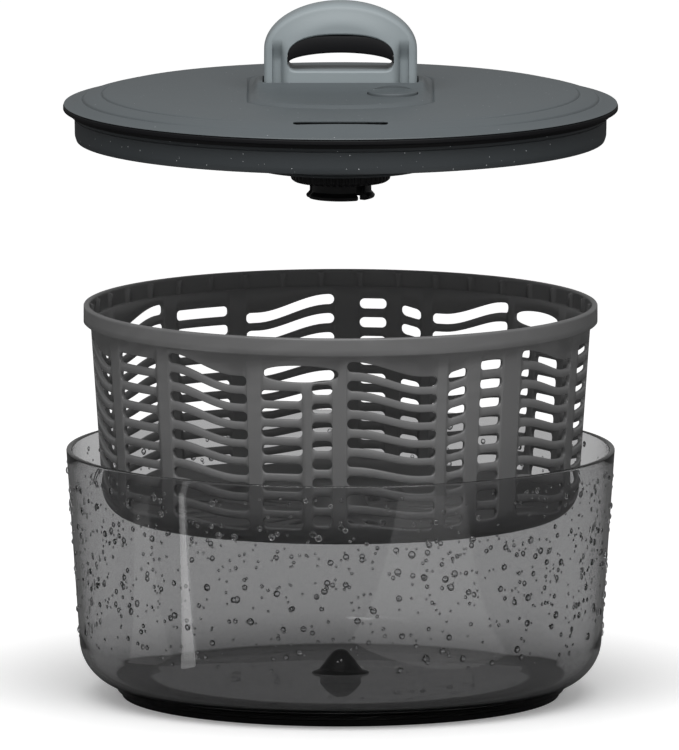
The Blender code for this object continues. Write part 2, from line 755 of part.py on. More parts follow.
def make_claw_hub(parent, material):
    """Tube that carries the drive disc, with a flange on the chassis and three claws at its foot."""
    seat = PLATE_TOP + 1.9
    profile = [
        (6.0, -20.6),
        (11.5, -20.6),
        (11.5, -12.6),
        (19.0, -12.6),
        (19.0, seat),
        (HUB_RADIUS, seat),
        (HUB_RADIUS, -38.6),
        (16.4, -40.2),
        (16.0, -41.4),
        (14.4, HUB_BOTTOM),
        (11.3, HUB_BOTTOM),
        (11.3, -34.6),
        (6.0, -34.6),
    ]
    hub = turned("claw_hub", profile, SMALL_ROUND, parent, material)
    slots = []
    for number in range(3):
        outline = box_outline(5.0, 2.9, (15.0, 0.0))
        turn = 120.0 * number + 42.0 - 90.0
        slots.append(prism_mesh([around(x, y, turn) for x, y in outline], -45.0, -36.5))
    cut(hub, finish("claw_slots", merge_meshes(slots), parent, None))
    return hub


def make_thrust_washer(parent, material):
    """Slip ring between the hub's flange and the chassis."""
    low = PLATE_TOP + GAP
    profile = [(15.3, low), (18.6, low), (18.6, low + 1.3), (15.3, low + 1.3)]
    return turned("thrust_washer", profile, SMALL_ROUND, parent, material)


def make_knurled_ring(parent, material):
    """Ring under the disc with fine upright ribs, which locks the disc on the hub."""
    ribs = 24
    outline = []
    for number in range(ribs * 2):
        angle = math.tau * number / (ribs * 2)
        radius = KNURL_RADIUS if number % 2 else KNURL_RADIUS - 0.8
        outline.append((radius * math.cos(angle), radius * math.sin(angle)))
    top = DISC_BOTTOM - GAP
    ring = prism("knurled_ring", outline, -34.0, top, "Z", parent, material)
    bore = [(0.0, -36.0), (HUB_RADIUS + 0.4, -36.0), (HUB_RADIUS + 0.4, -24.0), (0.0, -24.0)]
    cut(ring, turned("knurled_bore", bore, SMALL_ROUND, parent, None))
    return ring


def make_drive_disc(parent, material):
    """Shallow dish that reaches the basket's rim, with eight lugs round its edge."""
    profile = [
        (HUB_RADIUS + 0.4, DISC_TOP),
        (42.0, DISC_TOP),
        (111.0, -13.2),
        (113.6, -8.4),
        (DISC_RADIUS, -8.4),
        (DISC_RADIUS, -13.6),
        (113.4, -14.0),
        (111.6, -15.2),
        (40.6, DISC_BOTTOM),
        (HUB_RADIUS + 0.4, DISC_BOTTOM),
    ]
    disc = turned("drive_disc", profile, LARGE_ROUND, parent, material)
    lugs = []
    for number in range(8):
        outline = box_outline((LUG_RADIUS - 115.0) / 2, 4.0, ((LUG_RADIUS + 115.0) / 2, 0.0))
        lugs.append(prism_mesh([around(x, y, 45.0 * number) for x, y in outline], -13.0, -9.0))
    join(disc, finish("drive_lugs", merge_meshes(lugs), parent, None))
    drain = [(0.0, -30.0), (11.0, -30.0), (11.0, -5.0), (0.0, -5.0)]
    places = [around(80.0, 0.0, 22.5 + 45.0 * number) for number in range(8)]
    drains = [turned_mesh(drain, 10, place) for place in places]
    cut(disc, finish("disc_drains", merge_meshes(drains), parent, None))
    return disc


# ---------------------------------------------------------------- brake


def make_brake_button(parent, material):
    """Round push button with a stem that reaches down through the chassis."""
    profile = [
        (0.0, BUTTON_TOP),
        (BUTTON_RADIUS - 1.0, BUTTON_TOP - 0.2),
        (BUTTON_RADIUS, BUTTON_TOP - 1.0),
        (BUTTON_RADIUS, BUTTON_UNDER),
        (3.0, BUTTON_UNDER),
        (3.0, STEM_END),
        (0.0, STEM_END),
    ]
    return turned("brake_button", profile, SMALL_ROUND, parent, material, (BUTTON_X, BUTTON_Y))


def make_brake_pad(parent, material):
    """Soft pad on the stem's end that rubs on the disc."""
    top = STEM_END - GAP
    profile = [(0.0, top), (5.8, top), (6.2, top - 0.4), (6.2, top - 1.1), (0.0, top - 1.1)]
    return turned("brake_pad", profile, TINY_ROUND, parent, material, (BUTTON_X, BUTTON_Y))


# ---------------------------------------------------------------- whole


def clear_scene():
    for piece in list(bpy.data.objects):
        bpy.data.objects.remove(piece, do_unlink=True)


def main():
    clear_scene()
    smoke = look("smoked_clear_plastic", (0.20, 0.20, 0.21), 0.12, alpha=0.45)
    basket_grey = look("smoked_basket_plastic", (0.11, 0.11, 0.112), 0.3, alpha=0.9)
    lid_grey = look("lid_plastic", (0.12, 0.135, 0.145), 0.42)
    skirt_grey = look("skirt_plastic", (0.075, 0.085, 0.09), 0.4)
    handle_grey = look("handle_plastic", (0.27, 0.305, 0.32), 0.38)
    black = look("black_plastic", (0.012, 0.012, 0.013), 0.35)
    rubber = look("black_rubber", (0.01, 0.01, 0.01), 0.75)
    bearing = look("bearing_plastic", (0.6, 0.59, 0.55), 0.35)
    steel = look("steel", (0.6, 0.6, 0.61), 0.25, metallic=1.0)

    base = assembly("bowl_layer", 0.0)
    make_bowl(base, smoke)
    make_pivot_cone(base, black)
    make_base_ring(base, rubber)

    lifted = assembly("basket_layer", BASKET_REST)
    make_basket(lifted, basket_grey)
    make_pivot_cap(lifted, bearing)

    lid = assembly("lid_layer", LID_REST)
    make_lid_shell(lid, lid_grey)
    make_rim_seal(lid, rubber)
    make_lid_skirt(lid, skirt_grey)
    make_chassis(lid, black)
    make_thrust_washer(lid, bearing)
    spring_low = POCKET_FLOOR + GAP
    spring_high = CARRIAGE_TOP - CARRIAGE_DEPTH - GAP
    for side, where in ((-1.0, "left"), (1.0, "right")):
        at = (side * POST_X, 0.0)
        make_guide_post(f"guide_post_{where}", side, lid, steel)
        spring = (f"return_spring_{where}", at, spring_low, spring_high)
        make_spring(*spring, 4.3, 0.5, 5, lid, steel)
        make_screw(f"carriage_screw_{where}", (side * CARRIAGE_SCREW_X, 0.0), 7.4, 8.0, 1, lid, steel)
    for number, angle in enumerate(SCREW_ANGLES):
        at = around(SCREW_RADIUS, 0.0, angle)
        make_screw(f"chassis_screw_{number + 1}", at, CHASSIS_TOP - 2.0 - GAP, 5.0, 1, lid, steel)

    make_handle_shell(lid, handle_grey)
    make_handle_grip(lid, rubber)
    make_carriage(lid, black)
    make_spindle(lid, steel)
    make_drive_nut(lid, bearing)
    make_nut_retainer(lid, black)
    make_claw_hub(lid, black)
    make_knurled_ring(lid, black)
    make_drive_disc(lid, lid_grey)

    make_brake_button(lid, black)
    make_brake_pad(lid, rubber)
    at = (BUTTON_X, BUTTON_Y)
    make_spring("brake_spring", at, PLATE_TOP + GAP, BUTTON_UNDER - GAP, 4.3, 0.45, 6, lid, steel)


main()
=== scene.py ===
# %% [markdown]
# # A pump salad spinner, laid out open
# Three nested layers share one spin axis: a clear smoked bowl, a slotted basket and a lid with an arch
# handle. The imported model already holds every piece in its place, so this lesson starts from it as a
# fixed frame and gives the visible pieces finer surfaces and real finishes. Heights are read from the
# frame instead of being typed in again, so the looks can't drift away from the parts that move.

import bpy
import numpy as np
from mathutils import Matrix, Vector


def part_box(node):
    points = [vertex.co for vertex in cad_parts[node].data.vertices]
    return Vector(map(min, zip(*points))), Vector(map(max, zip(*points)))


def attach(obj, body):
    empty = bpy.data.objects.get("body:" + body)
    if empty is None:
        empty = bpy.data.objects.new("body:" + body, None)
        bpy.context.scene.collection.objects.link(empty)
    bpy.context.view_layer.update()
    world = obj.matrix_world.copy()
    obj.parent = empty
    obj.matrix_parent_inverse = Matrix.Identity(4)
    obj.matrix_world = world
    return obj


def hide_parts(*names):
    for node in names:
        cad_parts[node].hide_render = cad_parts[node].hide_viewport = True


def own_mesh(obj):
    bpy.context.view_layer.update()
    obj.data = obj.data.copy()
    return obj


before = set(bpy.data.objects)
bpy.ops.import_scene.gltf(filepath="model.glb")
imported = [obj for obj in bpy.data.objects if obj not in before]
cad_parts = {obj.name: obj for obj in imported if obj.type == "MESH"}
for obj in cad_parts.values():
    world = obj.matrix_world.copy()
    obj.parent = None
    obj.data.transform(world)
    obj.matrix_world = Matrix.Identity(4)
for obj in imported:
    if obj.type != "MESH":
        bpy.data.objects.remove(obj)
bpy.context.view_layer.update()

MM = 0.001
bowl_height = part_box("bowl")[1][2] / MM
basket_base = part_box("basket")[0][2] / MM
lid_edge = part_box("rim_seal")[0][2] / MM + 2.6
print("bowl rim at", round(bowl_height, 1), "basket floor at", round(basket_base, 1))
print("lid edge at", round(lid_edge, 1), "millimetres")

# %% [markdown]
# ## One way to make every new surface
# A turned or swept shape is a grid of points, so the mesh can be worked out with whole arrays. Where a
# grid closes on itself or ends in a pole, several corners land on one place. Merging them by rounded
# position closes seams and poles, and a side whose corners fell together is dropped. That same rule
# later lets slots end in a point without any special case.

# %% Grids to meshes


def surface(name, points, quads, material, body, node=None):
    """A mesh from points in millimetres and rows of four corners; equal places become one corner."""
    places = np.round(points / 1e-4).astype(np.int64)
    _, first, where = np.unique(places, axis=0, return_index=True, return_inverse=True)
    corners = where.reshape(-1)[quads]
    kept = corners != np.roll(corners, 1, axis=1)
    crossed = (corners[:, 0] == corners[:, 2]) | (corners[:, 1] == corners[:, 3])
    whole = (kept.sum(axis=1) > 2) & ~crossed
    corners, kept = corners[whole], kept[whole]
    sides = kept.sum(axis=1)
    mesh = bpy.data.meshes.new(name)
    mesh.vertices.add(len(first))
    mesh.vertices.foreach_set("co", (points[first] * MM).astype(np.float32).ravel())
    mesh.loops.add(int(sides.sum()))
    mesh.loops.foreach_set("vertex_index", corners[kept].astype(np.int32))
    mesh.polygons.add(len(sides))
    starts = np.concatenate([[0], np.cumsum(sides)[:-1]])
    mesh.polygons.foreach_set("loop_start", starts.astype(np.int32))
    mesh.update(calc_edges=True)
    mesh.validate()
    mesh.shade_smooth()
    piece = bpy.data.objects.new(name, mesh)
    bpy.context.scene.collection.objects.link(piece)
    if material is not None:
        mesh.materials.append(material)
    if body:
        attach(piece, body)
    if node:
        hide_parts(node)
    print(name, len(mesh.polygons), "faces")
    return piece


def grid_quads(rows, columns, close_rows=False, close_columns=False):
    """Corners of every cell of a grid stored row by row. A closed direction joins its last line to its
    first."""
    row = np.arange(rows if close_rows else rows - 1)[:, None]
    column = np.arange(columns if close_columns else columns - 1)[None, :]
    row_after = (row + 1) % rows
    column_after = (column + 1) % columns
    around = (
        row * columns + column,
        row * columns + column_after,
        row_after * columns + column_after,
        row_after * columns + column,
    )
    return np.stack(around, axis=-1).reshape(-1, 4)


# %% [markdown]
# ## Profiles with soft corners
# Moulded plastic has no sharp corner, and the light that runs along a small radius is what makes an
# edge look real. A profile is therefore written with its few true corners, which are then rounded, and
# its long straight runs are divided so that the shading of a corner doesn't bleed across them.

# %% Rounding, dividing and turning a profile


def rounded(corners, radius, closed=True, steps=4):
    """At a corner C the path runs from A to B, each a radius back along its side, as the curve
    (1-t)^2 A + 2t(1-t) C + t^2 B. An open path keeps its two ends."""
    corner = np.asarray(corners, float)
    to_last = np.roll(corner, 1, axis=0) - corner
    to_next = np.roll(corner, -1, axis=0) - corner
    last = np.maximum(np.linalg.norm(to_last, axis=1), 1e-9)
    following = np.maximum(np.linalg.norm(to_next, axis=1), 1e-9)
    back = np.minimum(radius, 0.45 * np.minimum(last, following))
    start = corner + to_last * (back / last)[:, None]
    end = corner + to_next * (back / following)[:, None]
    t = np.linspace(0, 1, steps + 1)[None, :, None]
    path = (1 - t) ** 2 * start[:, None] + 2 * t * (1 - t) * corner[:, None] + t**2 * end[:, None]
    if not closed:
        path[0], path[-1] = corner[0], corner[-1]
    return path.reshape(-1, 2)


def divided(path, longest, closed=True):
    """The path with each run longer than `longest` split into equal shorter ones."""
    ends = np.roll(path, -1, axis=0) if closed else path[1:]
    starts = path if closed else path[:-1]
    pieces = [
        a + (b - a) * np.linspace(0, 1, max(1, int(np.ceil(np.hypot(*(b - a)) / longest))) + 1)[:-1, None]
        for a, b in zip(starts, ends)
    ]
    if not closed:
        pieces.append(path[-1:])
    return np.concatenate(pieces)


def turned(name, profile, lift, material, body, node=None, steps=192, ripple=None):
    """Radius r and height z carried round the axis: (r cos a, r sin a, z). `ripple(angle, r, z)` changes
    r. A profile that starts and ends on the axis closes in poles."""
    on_axis = abs(profile[0][0]) < 1e-9 and abs(profile[-1][0]) < 1e-9
    r, z = np.asarray(profile, float).T
    if (r * np.roll(z, -1) - np.roll(r, -1) * z).sum() < 0:
        r, z = r[::-1], z[::-1]
    angle = np.arange(steps) * 2 * np.pi / steps
    radius = r[:, None] + 0 * angle
    if ripple is not None:
        radius = ripple(angle[None, :], r[:, None], z[:, None])
    height = z[:, None] + lift + 0 * angle
    points = np.stack([radius * np.cos(angle), radius * np.sin(angle), height], axis=-1)
    quads = grid_quads(len(r), steps, close_rows=not on_axis, close_columns=True)
    return surface(name, points.reshape(-1, 3), quads, material, body, node)


def smooth_step(low, high, value):
    """0 below low, 1 above high, and 3t^2 - 2t^3 between them."""
    t = np.clip((value - low) / (high - low), 0, 1)
    return t * t * (3 - 2 * t)


# %% [markdown]
# ## Finishes that more than one plastic shares
# A moulded surface is never one flat value. It has a slow cloudiness in its shade, a fine spark-eroded
# grain, some rubbed edges and a little dust. Each is a node group with named inputs, so every plastic
# can use them with its own strengths. Only masks, colours and heights leave a group; the shader and
# its constant values stay in the material.

# %% Node helpers


def fill(tree, node, values):
    """Gives each named or numbered input a value, or a link if the value is another node's output."""
    for key, value in values.items():
        if isinstance(value, bpy.types.NodeSocket):
            tree.links.new(value, node.inputs[key])
        else:
            node.inputs[key].default_value = value
    return node


def add(tree, kind, values=None, **settings):
    """A node with its settings made and its inputs filled."""
    made = tree.nodes.new("ShaderNode" + kind)
    for key, value in settings.items():
        setattr(made, key, value)
    return fill(tree, made, values or {})


def calc(tree, operation, *values):
    """The result of one sum on numbers or outputs."""
    return add(tree, "Math", dict(enumerate(values)), operation=operation).outputs[0]


def remap(tree, value, before, after=(0.0, 1.0), **settings):
    """The value's place in the range `before`, carried over to the range `after`."""
    ends = {"Value": value, "From Min": before[0], "From Max": before[1]}
    ends |= {"To Min": after[0], "To Max": after[1]}
    return add(tree, "MapRange", ends, **settings).outputs[0]


def mixed(tree, share, first, second):
    """The first colour where the share is 0, the second where it is 1."""
    return add(tree, "Mix", {0: share, 6: first, 7: second}, data_type="RGBA").outputs[2]


def place_on_piece(tree):
    return add(tree, "TexCoord").outputs["Object"]


def group(name, inputs, outputs):
    """An empty shader node group with its sockets: the tree, its given values and its end node."""
    tree = bpy.data.node_groups.new(name, "ShaderNodeTree")
    for label, kind, value in inputs:
        socket = tree.interface.new_socket(label, in_out="INPUT", socket_type=f"NodeSocket{kind}")
        socket.default_value = value
    for label, kind in outputs:
        tree.interface.new_socket(label, in_out="OUTPUT", socket_type=f"NodeSocket{kind}")
    return tree, tree.nodes.new("NodeGroupInput").outputs, tree.nodes.new("NodeGroupOutput")


# %% Moulded grain
def make_moulded_grain():
    """Shade = colour times (1 + spread x cloud noise). Height = fine noise. Gloss = a blend of both."""
    inputs = [
        ("Colour", "Color", (0.5, 0.5, 0.5, 1.0)),
        ("Cloud Spread", "Float", 0.15),
        ("Cloud Scale", "Float", 18.0),
        ("Grain Scale", "Float", 1500.0),
    ]
    outputs = [("Colour", "Color"), ("Gloss Variation", "Float"), ("Height", "Float")]
    tree, given, out = group("moulded grain", inputs, outputs)
    place = place_on_piece(tree)
    clouds = {"Vector": place, "Scale": given["Cloud Scale"], "Detail": 4.0, "Roughness": 0.6}
    grains = {"Vector": place, "Scale": given["Grain Scale"], "Detail": 2.0, "Roughness": 0.5}
    cloud = add(tree, "TexNoise", clouds).outputs["Fac"]
    grain = add(tree, "TexNoise", grains).outputs["Fac"]
    spread = calc(tree, "MULTIPLY", calc(tree, "SUBTRACT", cloud, 0.5), given["Cloud Spread"])
    shaded = {0: given["Colour"], "Scale": calc(tree, "ADD", spread, 1.0)}
    tinted = add(tree, "VectorMath", shaded, operation="SCALE").outputs[0]
    gloss = calc(tree, "MULTIPLY_ADD", cloud, 0.5, calc(tree, "MULTIPLY", grain, 0.5))
    fill(tree, out, {"Colour": tinted, "Gloss Variation": gloss, "Height": grain})
    return tree


# %% Fine specks and rubbed edges
def make_specks():
    """Mask = 1 in the middle of scattered cells, where a cell's random shade is below the share."""
    inputs = [("Scale", "Float", 500.0), ("Share", "Float", 0.1), ("Size", "Float", 0.25)]
    tree, given, out = group("specks", inputs, [("Mask", "Float")])
    scattered = {"Vector": place_on_piece(tree), "Scale": given["Scale"], "Randomness": 1.0}
    cells = add(tree, "TexVoronoi", scattered)
    near = calc(tree, "LESS_THAN", cells.outputs["Distance"], given["Size"])
    shade = add(tree, "SeparateColor", {0: cells.outputs["Color"]}).outputs[0]
    chosen = calc(tree, "LESS_THAN", shade, given["Share"])
    fill(tree, out, {"Mask": calc(tree, "MULTIPLY", near, chosen)})
    return tree


def make_rubbed_edges():
    """Mask = how far the surface's pointiness is above the flat value, broken up by noise."""
    inputs = [("Amount", "Float", 0.5), ("Break Up Scale", "Float", 160.0)]
    tree, given, out = group("rubbed edges", inputs, [("Mask", "Float")])
    edge = remap(tree, add(tree, "NewGeometry").outputs["Pointiness"], (0.52, 0.62))
    breaks = {"Vector": place_on_piece(tree), "Scale": given["Break Up Scale"], "Detail": 3.0}
    noise = add(tree, "TexNoise", breaks).outputs["Fac"]
    broken = calc(tree, "MULTIPLY", edge, noise)
    fill(tree, out, {"Mask": calc(tree, "MULTIPLY", broken, given["Amount"])})
    return tree


moulded_grain = make_moulded_grain()
specks = make_specks()
rubbed_edges = make_rubbed_edges()
print("shared finishes:", moulded_grain.name, specks.name, rubbed_edges.name)

# %% [markdown]
# ## Opaque plastics, rubber and steel
# The lid, skirt and handle are the same ABS in three shades, so one recipe takes a colour and a gloss
# range. Edges are rubbed a little lighter, and dust specks are lighter still. Black rubber is rougher
# and has no worn edge. Steel parts are drawn bar and wire, which need a metal with fine lines along
# them.

# %% Plastics
DUST = (0.5, 0.52, 0.53, 1.0)


def new_finish(name):
    """A material with nodes, its tree and its shader."""
    material = bpy.data.materials.new(name)
    material.use_nodes = True
    return material, material.node_tree, material.node_tree.nodes["Principled BSDF"]


def grouped(tree, part, values):
    """The outputs of a shared effect."""
    return fill(tree, add(tree, "Group", node_tree=part), values).outputs


def plastic(name, colour, gloss, wear=0.25, dust=0.0, bump=0.06, shine=0.5):
    """Grain sets the shade and the bump, rubbed edges and specks lighten it, and gloss runs between two
    values."""
    material, tree, shader = new_finish(name)
    base = grouped(tree, moulded_grain, {"Colour": (*colour, 1.0)})
    edge = grouped(tree, rubbed_edges, {"Amount": wear})["Mask"]
    dots = grouped(tree, specks, {"Share": dust, "Scale": 700.0, "Size": 0.18})["Mask"]
    lighter = tuple(min(1.0, 1.9 * value + 0.03) for value in colour)
    worn = mixed(tree, edge, base["Colour"], (*lighter, 1.0))
    grain = {"Strength": bump, "Distance": 0.0003, "Height": base["Height"]}
    finish = {
        "Specular IOR Level": shine,
        "Base Color": mixed(tree, dots, worn, DUST),
        "Roughness": remap(tree, base["Gloss Variation"], (0.0, 1.0), gloss),
        "Normal": add(tree, "Bump", grain).outputs[0],
    }
    fill(tree, shader, finish)
    return material


lid_plastic = plastic("lid plastic", (0.090, 0.104, 0.111), (0.4, 0.58), dust=0.01, shine=0.4)
skirt_plastic = plastic("skirt plastic", (0.040, 0.046, 0.050), (0.4, 0.55), dust=0.05, shine=0.4)
handle_plastic = plastic("handle plastic", (0.262, 0.298, 0.312), (0.4, 0.55), wear=0.2, shine=0.4)
black_plastic = plastic("black plastic", (0.009, 0.009, 0.010), (0.3, 0.45), wear=0.3, shine=0.35)
seal_rubber = plastic("seal rubber", (0.005, 0.005, 0.006), (0.5, 0.7), wear=0.0, bump=0.15, shine=0.2)
bearing_plastic = plastic("bearing plastic", (0.62, 0.60, 0.55), (0.28, 0.42))


# %% Drawn steel
def drawn_steel():
    """Metal whose roughness follows noise stretched along the axis, as the die leaves it."""
    material, tree, shader = new_finish("drawn steel")
    stretched = {"Vector": place_on_piece(tree), "Scale": (900.0, 900.0, 40.0)}
    along = add(tree, "Mapping", stretched).outputs[0]
    lines = add(tree, "TexNoise", {"Vector": along, "Scale": 1.0, "Detail": 3.0}).outputs["Fac"]
    finish = {
        "Metallic": 1.0,
        "Base Color": mixed(tree, lines, (0.48, 0.48, 0.49, 1.0), (0.66, 0.66, 0.67, 1.0)),
        "Roughness": remap(tree, lines, (0.0, 1.0), (0.18, 0.36)),
    }
    fill(tree, shader, finish)
    return material


steel = drawn_steel()

# %% [markdown]
# ## Clear and smoked plastics
# The bowl is clear polymer with a smoky dye. Light is tinted each time it enters the wall, so the front
# and back walls together look darker than one. The basket is the same family of plastic with much more
# dye and a satin face, so it is nearly opaque with only a hint of what lies behind. Water is clear, and
# a bead shows by the bright rings that bend through it and by a dark rim painted towards its edge.

# %% Bowl, basket and water
SMOKE = (0.55, 0.55, 0.554, 1.0)
PAINTED_SHEEN_SMOKE = (0.82, 0.82, 0.825, 1.0)
PAINTED_FOOT_SHADE = (0.02, 0.02, 0.02, 1.0)
FOOT_RADIUS = 0.0985


def smoked_clear():
    """Transmission with a grey tint; roughness and a faint height follow the moulding's flow. Near the foot
    ring's radius, r = 98.5 mm, and below 10 mm the tint is painted all but black, a painted shade for the
    dark look of the thick foot on the soft ring. Above 12 mm the tint is painted lighter where the wall
    turns away from view, a painted sheen along its edges."""
    material, tree, shader = new_finish("smoked clear plastic")
    flow = {"Colour": SMOKE, "Cloud Spread": 0.08, "Cloud Scale": 9.0, "Grain Scale": 14.0}
    base = grouped(tree, moulded_grain, flow)
    place = place_on_piece(tree)
    height = add(tree, "SeparateXYZ", {0: place}).outputs["Z"]
    flat = add(tree, "VectorMath", {0: place, 1: (1.0, 1.0, 0.0)}, operation="MULTIPLY").outputs[0]
    reach = add(tree, "VectorMath", {0: flat}, operation="LENGTH").outputs["Value"]
    # Painted shade: near the foot ring's radius and below 10 mm the tint is painted all but black, for the
    # dark look of the thick foot.
    off_ring = calc(tree, "ABSOLUTE", calc(tree, "SUBTRACT", reach, FOOT_RADIUS))
    near_ring = remap(tree, off_ring, (0.007, 0.0095), (1.0, 0.0))
    low = remap(tree, height, (0.009, 0.0115), (1.0, 0.0))
    # Painted sheen: above 12 mm the tint is painted lighter where the wall turns away from view.
    side_on = add(tree, "LayerWeight", {"Blend": 0.5}).outputs["Facing"]
    turned_away = remap(tree, side_on, (0.35, 0.85))
    painted_sheen = calc(tree, "MULTIPLY", turned_away, remap(tree, height, (0.012, 0.03)))
    wall = mixed(tree, painted_sheen, base["Colour"], PAINTED_SHEEN_SMOKE)
    ripple = {"Strength": 0.008, "Distance": 0.001, "Height": base["Height"]}
    finish = {
        "Transmission Weight": 1.0,
        "IOR": 1.4,
        "Base Color": mixed(tree, calc(tree, "MULTIPLY", near_ring, low), wall, PAINTED_FOOT_SHADE),
        "Roughness": remap(tree, base["Gloss Variation"], (0.0, 1.0), (0.0, 0.002)),
        "Normal": add(tree, "Bump", ripple).outputs[0],
    }
    fill(tree, shader, finish)
    return material


def smoked_basket():
    """A dark satin plastic, a little see-through, with cloudy shade and fine grain."""
    material = plastic("smoked basket plastic", (0.160, 0.160, 0.161), (0.3, 0.42), wear=0.15)
    material.node_tree.nodes["Principled BSDF"].inputs["Alpha"].default_value = 0.92
    return material


def clear_water():
    """Clear in the middle of a bead, with a dark rim painted towards its edge where it turns from view."""
    material, tree, shader = new_finish("clear water")
    noise = add(tree, "TexNoise", {"Vector": place_on_piece(tree), "Scale": 60.0}).outputs["Fac"]
    side_on = add(tree, "LayerWeight", {"Blend": 0.5}).outputs["Facing"]
    # Painted shade: the bead's tint goes near black where it turns from view, for the dark ring round its
    # edge.
    edge = remap(tree, side_on, (0.3, 0.6))
    finish = {
        "Transmission Weight": 1.0,
        "IOR": 1.33,
        "Base Color": mixed(tree, edge, (0.95, 0.95, 0.96, 1.0), (0.01, 0.01, 0.01, 1.0)),
        "Roughness": remap(tree, noise, (0.0, 1.0), (0.0, 0.02)),
    }
    fill(tree, shader, finish)
    return material


bowl_plastic = smoked_clear()
basket_plastic = smoked_basket()
water = clear_water()

# %% [markdown]
# ## The bowl, its cone and its base ring
# All three are turned shapes. The bowl's wall leans out slightly so that it leaves its mould, its foot
# corner has a wide radius that is easy to wash, and its rim is rolled over. Two small ribs under the
# floor hold the soft ring that stops it walking on the table.

# %% Bowl
FLOOR = 8.0
UNDER = 5.5
FOOT = 101.8
CORNER = 22.0
WALL_LOW = 27.0
RIM_RADIUS = 130.0
RIM_INSIDE = 127.4


def corner_arc(radius, start, end, steps=14):
    """Circle round (FOOT, UNDER + CORNER): (FOOT + R cos a, UNDER + CORNER + R sin a)."""
    a = np.radians(np.linspace(start, end, steps))
    return np.stack([FOOT + radius * np.cos(a), UNDER + CORNER + radius * np.sin(a)], axis=1)


def bowl_profile():
    ribs = [(6.2, UNDER), (93.0, UNDER), (93.0, 3.0), (95.1, 3.0), (95.1, UNDER)]
    ribs += [(104.0, UNDER), (104.0, 3.0), (106.0, 3.0), (106.2, UNDER + 0.4)]
    rim = [(RIM_RADIUS, bowl_height), (RIM_INSIDE, bowl_height)]
    wall = [(123.8, WALL_LOW), *rim, (121.4, WALL_LOW)]
    return np.concatenate(
        [
            rounded(ribs, 0.5, closed=False),
            corner_arc(CORNER, -74, -4),
            rounded(wall, 1.25, closed=False, steps=6)[1:-1],
            corner_arc(CORNER - 2.5, -4, -90),
            [(6.2, FLOOR)],
        ]
    )


turned("clear_bowl", divided(bowl_profile(), 6.0), 0.0, bowl_plastic, "bowl", "bowl", steps=224)

# %% Pivot cone and base ring
cone = [(0.0, 5.8), (5.8, 5.8), (5.8, 8.3), (13.7, 8.3), (13.2, 9.2), (10.2, 10.6), (9.5, 12.6)]
cone += [(6.9, 16.6), (3.6, 20.6), (1.8, 21.6), (0.0, 21.6)]
cone = divided(rounded(cone, 0.9, closed=False), 2.0, closed=False)
turned("cone_pin", cone, 0.0, black_plastic, "bowl", "pivot_cone", steps=96)
ring = rounded([(95.5, 5.6), (103.7, 5.6), (103.7, 0.0), (95.5, 0.0)], 0.7)
turned("grip_ring", divided(ring, 2.0), 0.0, seal_rubber, "bowl", "base_ring")

# %% [markdown]
# ## Water left on the bowl
# After spinning, the wall is covered with beads. Each is a low spherical cap that sits on the wall, so
# one small dome is placed more than a thousand times with whole-array arithmetic: a random angle, height
# and size for each, from a fixed seed.

# %% Water beads
WALL_LOW_RADIUS = 123.75
WALL_THICK = 2.55
WALL_LEAN = 0.068
DRY_RIM = 6.0
INSIDE_SHARE = 0.25
BEAD_RISE = 0.55


def bowl_wall(height, inside):
    """Radius of the wall's face at a height, from the foot corner to the rim."""
    share = (height - WALL_LOW) / (bowl_height - WALL_LOW)
    outside = WALL_LOW_RADIUS + (RIM_RADIUS - WALL_LOW_RADIUS) * share
    return outside - WALL_THICK * inside


def water_beads(count=1300, sides=14):
    """Bead point = wall point + size x (sin p cos q along the wall, sin p sin q up it, 0.55 cos p
    outwards)."""
    rng = np.random.default_rng(7)
    angle = rng.uniform(0, 2 * np.pi, count)
    height = WALL_LOW + (bowl_height - WALL_LOW - DRY_RIM) * rng.uniform(0, 1, count)
    inside = (rng.uniform(0, 1, count) < INSIDE_SHARE).astype(float)
    size = 0.6 + 1.3 * rng.uniform(0, 1, count) ** 3
    rows = np.array([0.0, 0.55, 1.05, 1.5, np.pi])
    p = rows[None, :, None]
    q = (np.arange(sides) * 2 * np.pi / sides)[None, None, :]
    along = size[:, None, None] * np.sin(p) * np.cos(q)
    up = size[:, None, None] * np.sin(p) * np.sin(q)
    out = BEAD_RISE * size[:, None, None] * np.cos(p) + 0 * q
    out = np.where(out < 0, 0.12 * out, out)
    side = (1 - 2 * inside)[:, None, None]
    radius = bowl_wall(height, inside)[:, None, None] + side * out
    radius = radius + WALL_LEAN * up
    turn = angle[:, None, None] + side * along / radius
    points = np.stack(
        [radius * np.cos(turn), radius * np.sin(turn), height[:, None, None] + up + 0 * turn], axis=-1
    )
    one = grid_quads(len(rows), sides, close_columns=True)[:, ::-1]
    shift = np.arange(count)[:, None, None] * (len(rows) * sides)
    quads = (one[None] + shift).reshape(-1, 4)
    return surface("water_beads", points.reshape(-1, 3), quads, water, "bowl")


water_beads()

# %% [markdown]
# ## The basket
# The wall is a thin cone whose slots come in eight columns of waves, each an S that drops to the right,
# with short straight slots between them. Cutting so many slots with a Boolean works but leaves ragged
# shading. Instead the slot edges are the grid's own lines: two lines run round the wall for each row of
# slots, and they part only inside a slot, following half a slot's height that falls to nothing at
# its round ends. Where they meet, their corners merge and the wall is simply whole.

# %% Where the slots are
SLOT_ROWS = 9
WAVE = (0.0, 21.4)
SHORT = {
    "A": [(24.7, 34.6, -5.5, -5.5), (36.8, 41.6, -2.0, -2.0)],
    "B": [(24.1, 29.0, -7.0, -4.5), (32.6, 39.0, -2.0, -2.0)],
    "C": [(25.9, 40.8, -4.0, -4.0)],
}
LENS = (25.4, 43.0, -3.6, -3.6)
SECTORS = "ABCABCBC"
SECTOR_START = -43.5
HALF_SLOT = 2.45
END_DEGREES = 1.2
RIB_PITCH = 9.0
RIB_HALF = 0.5


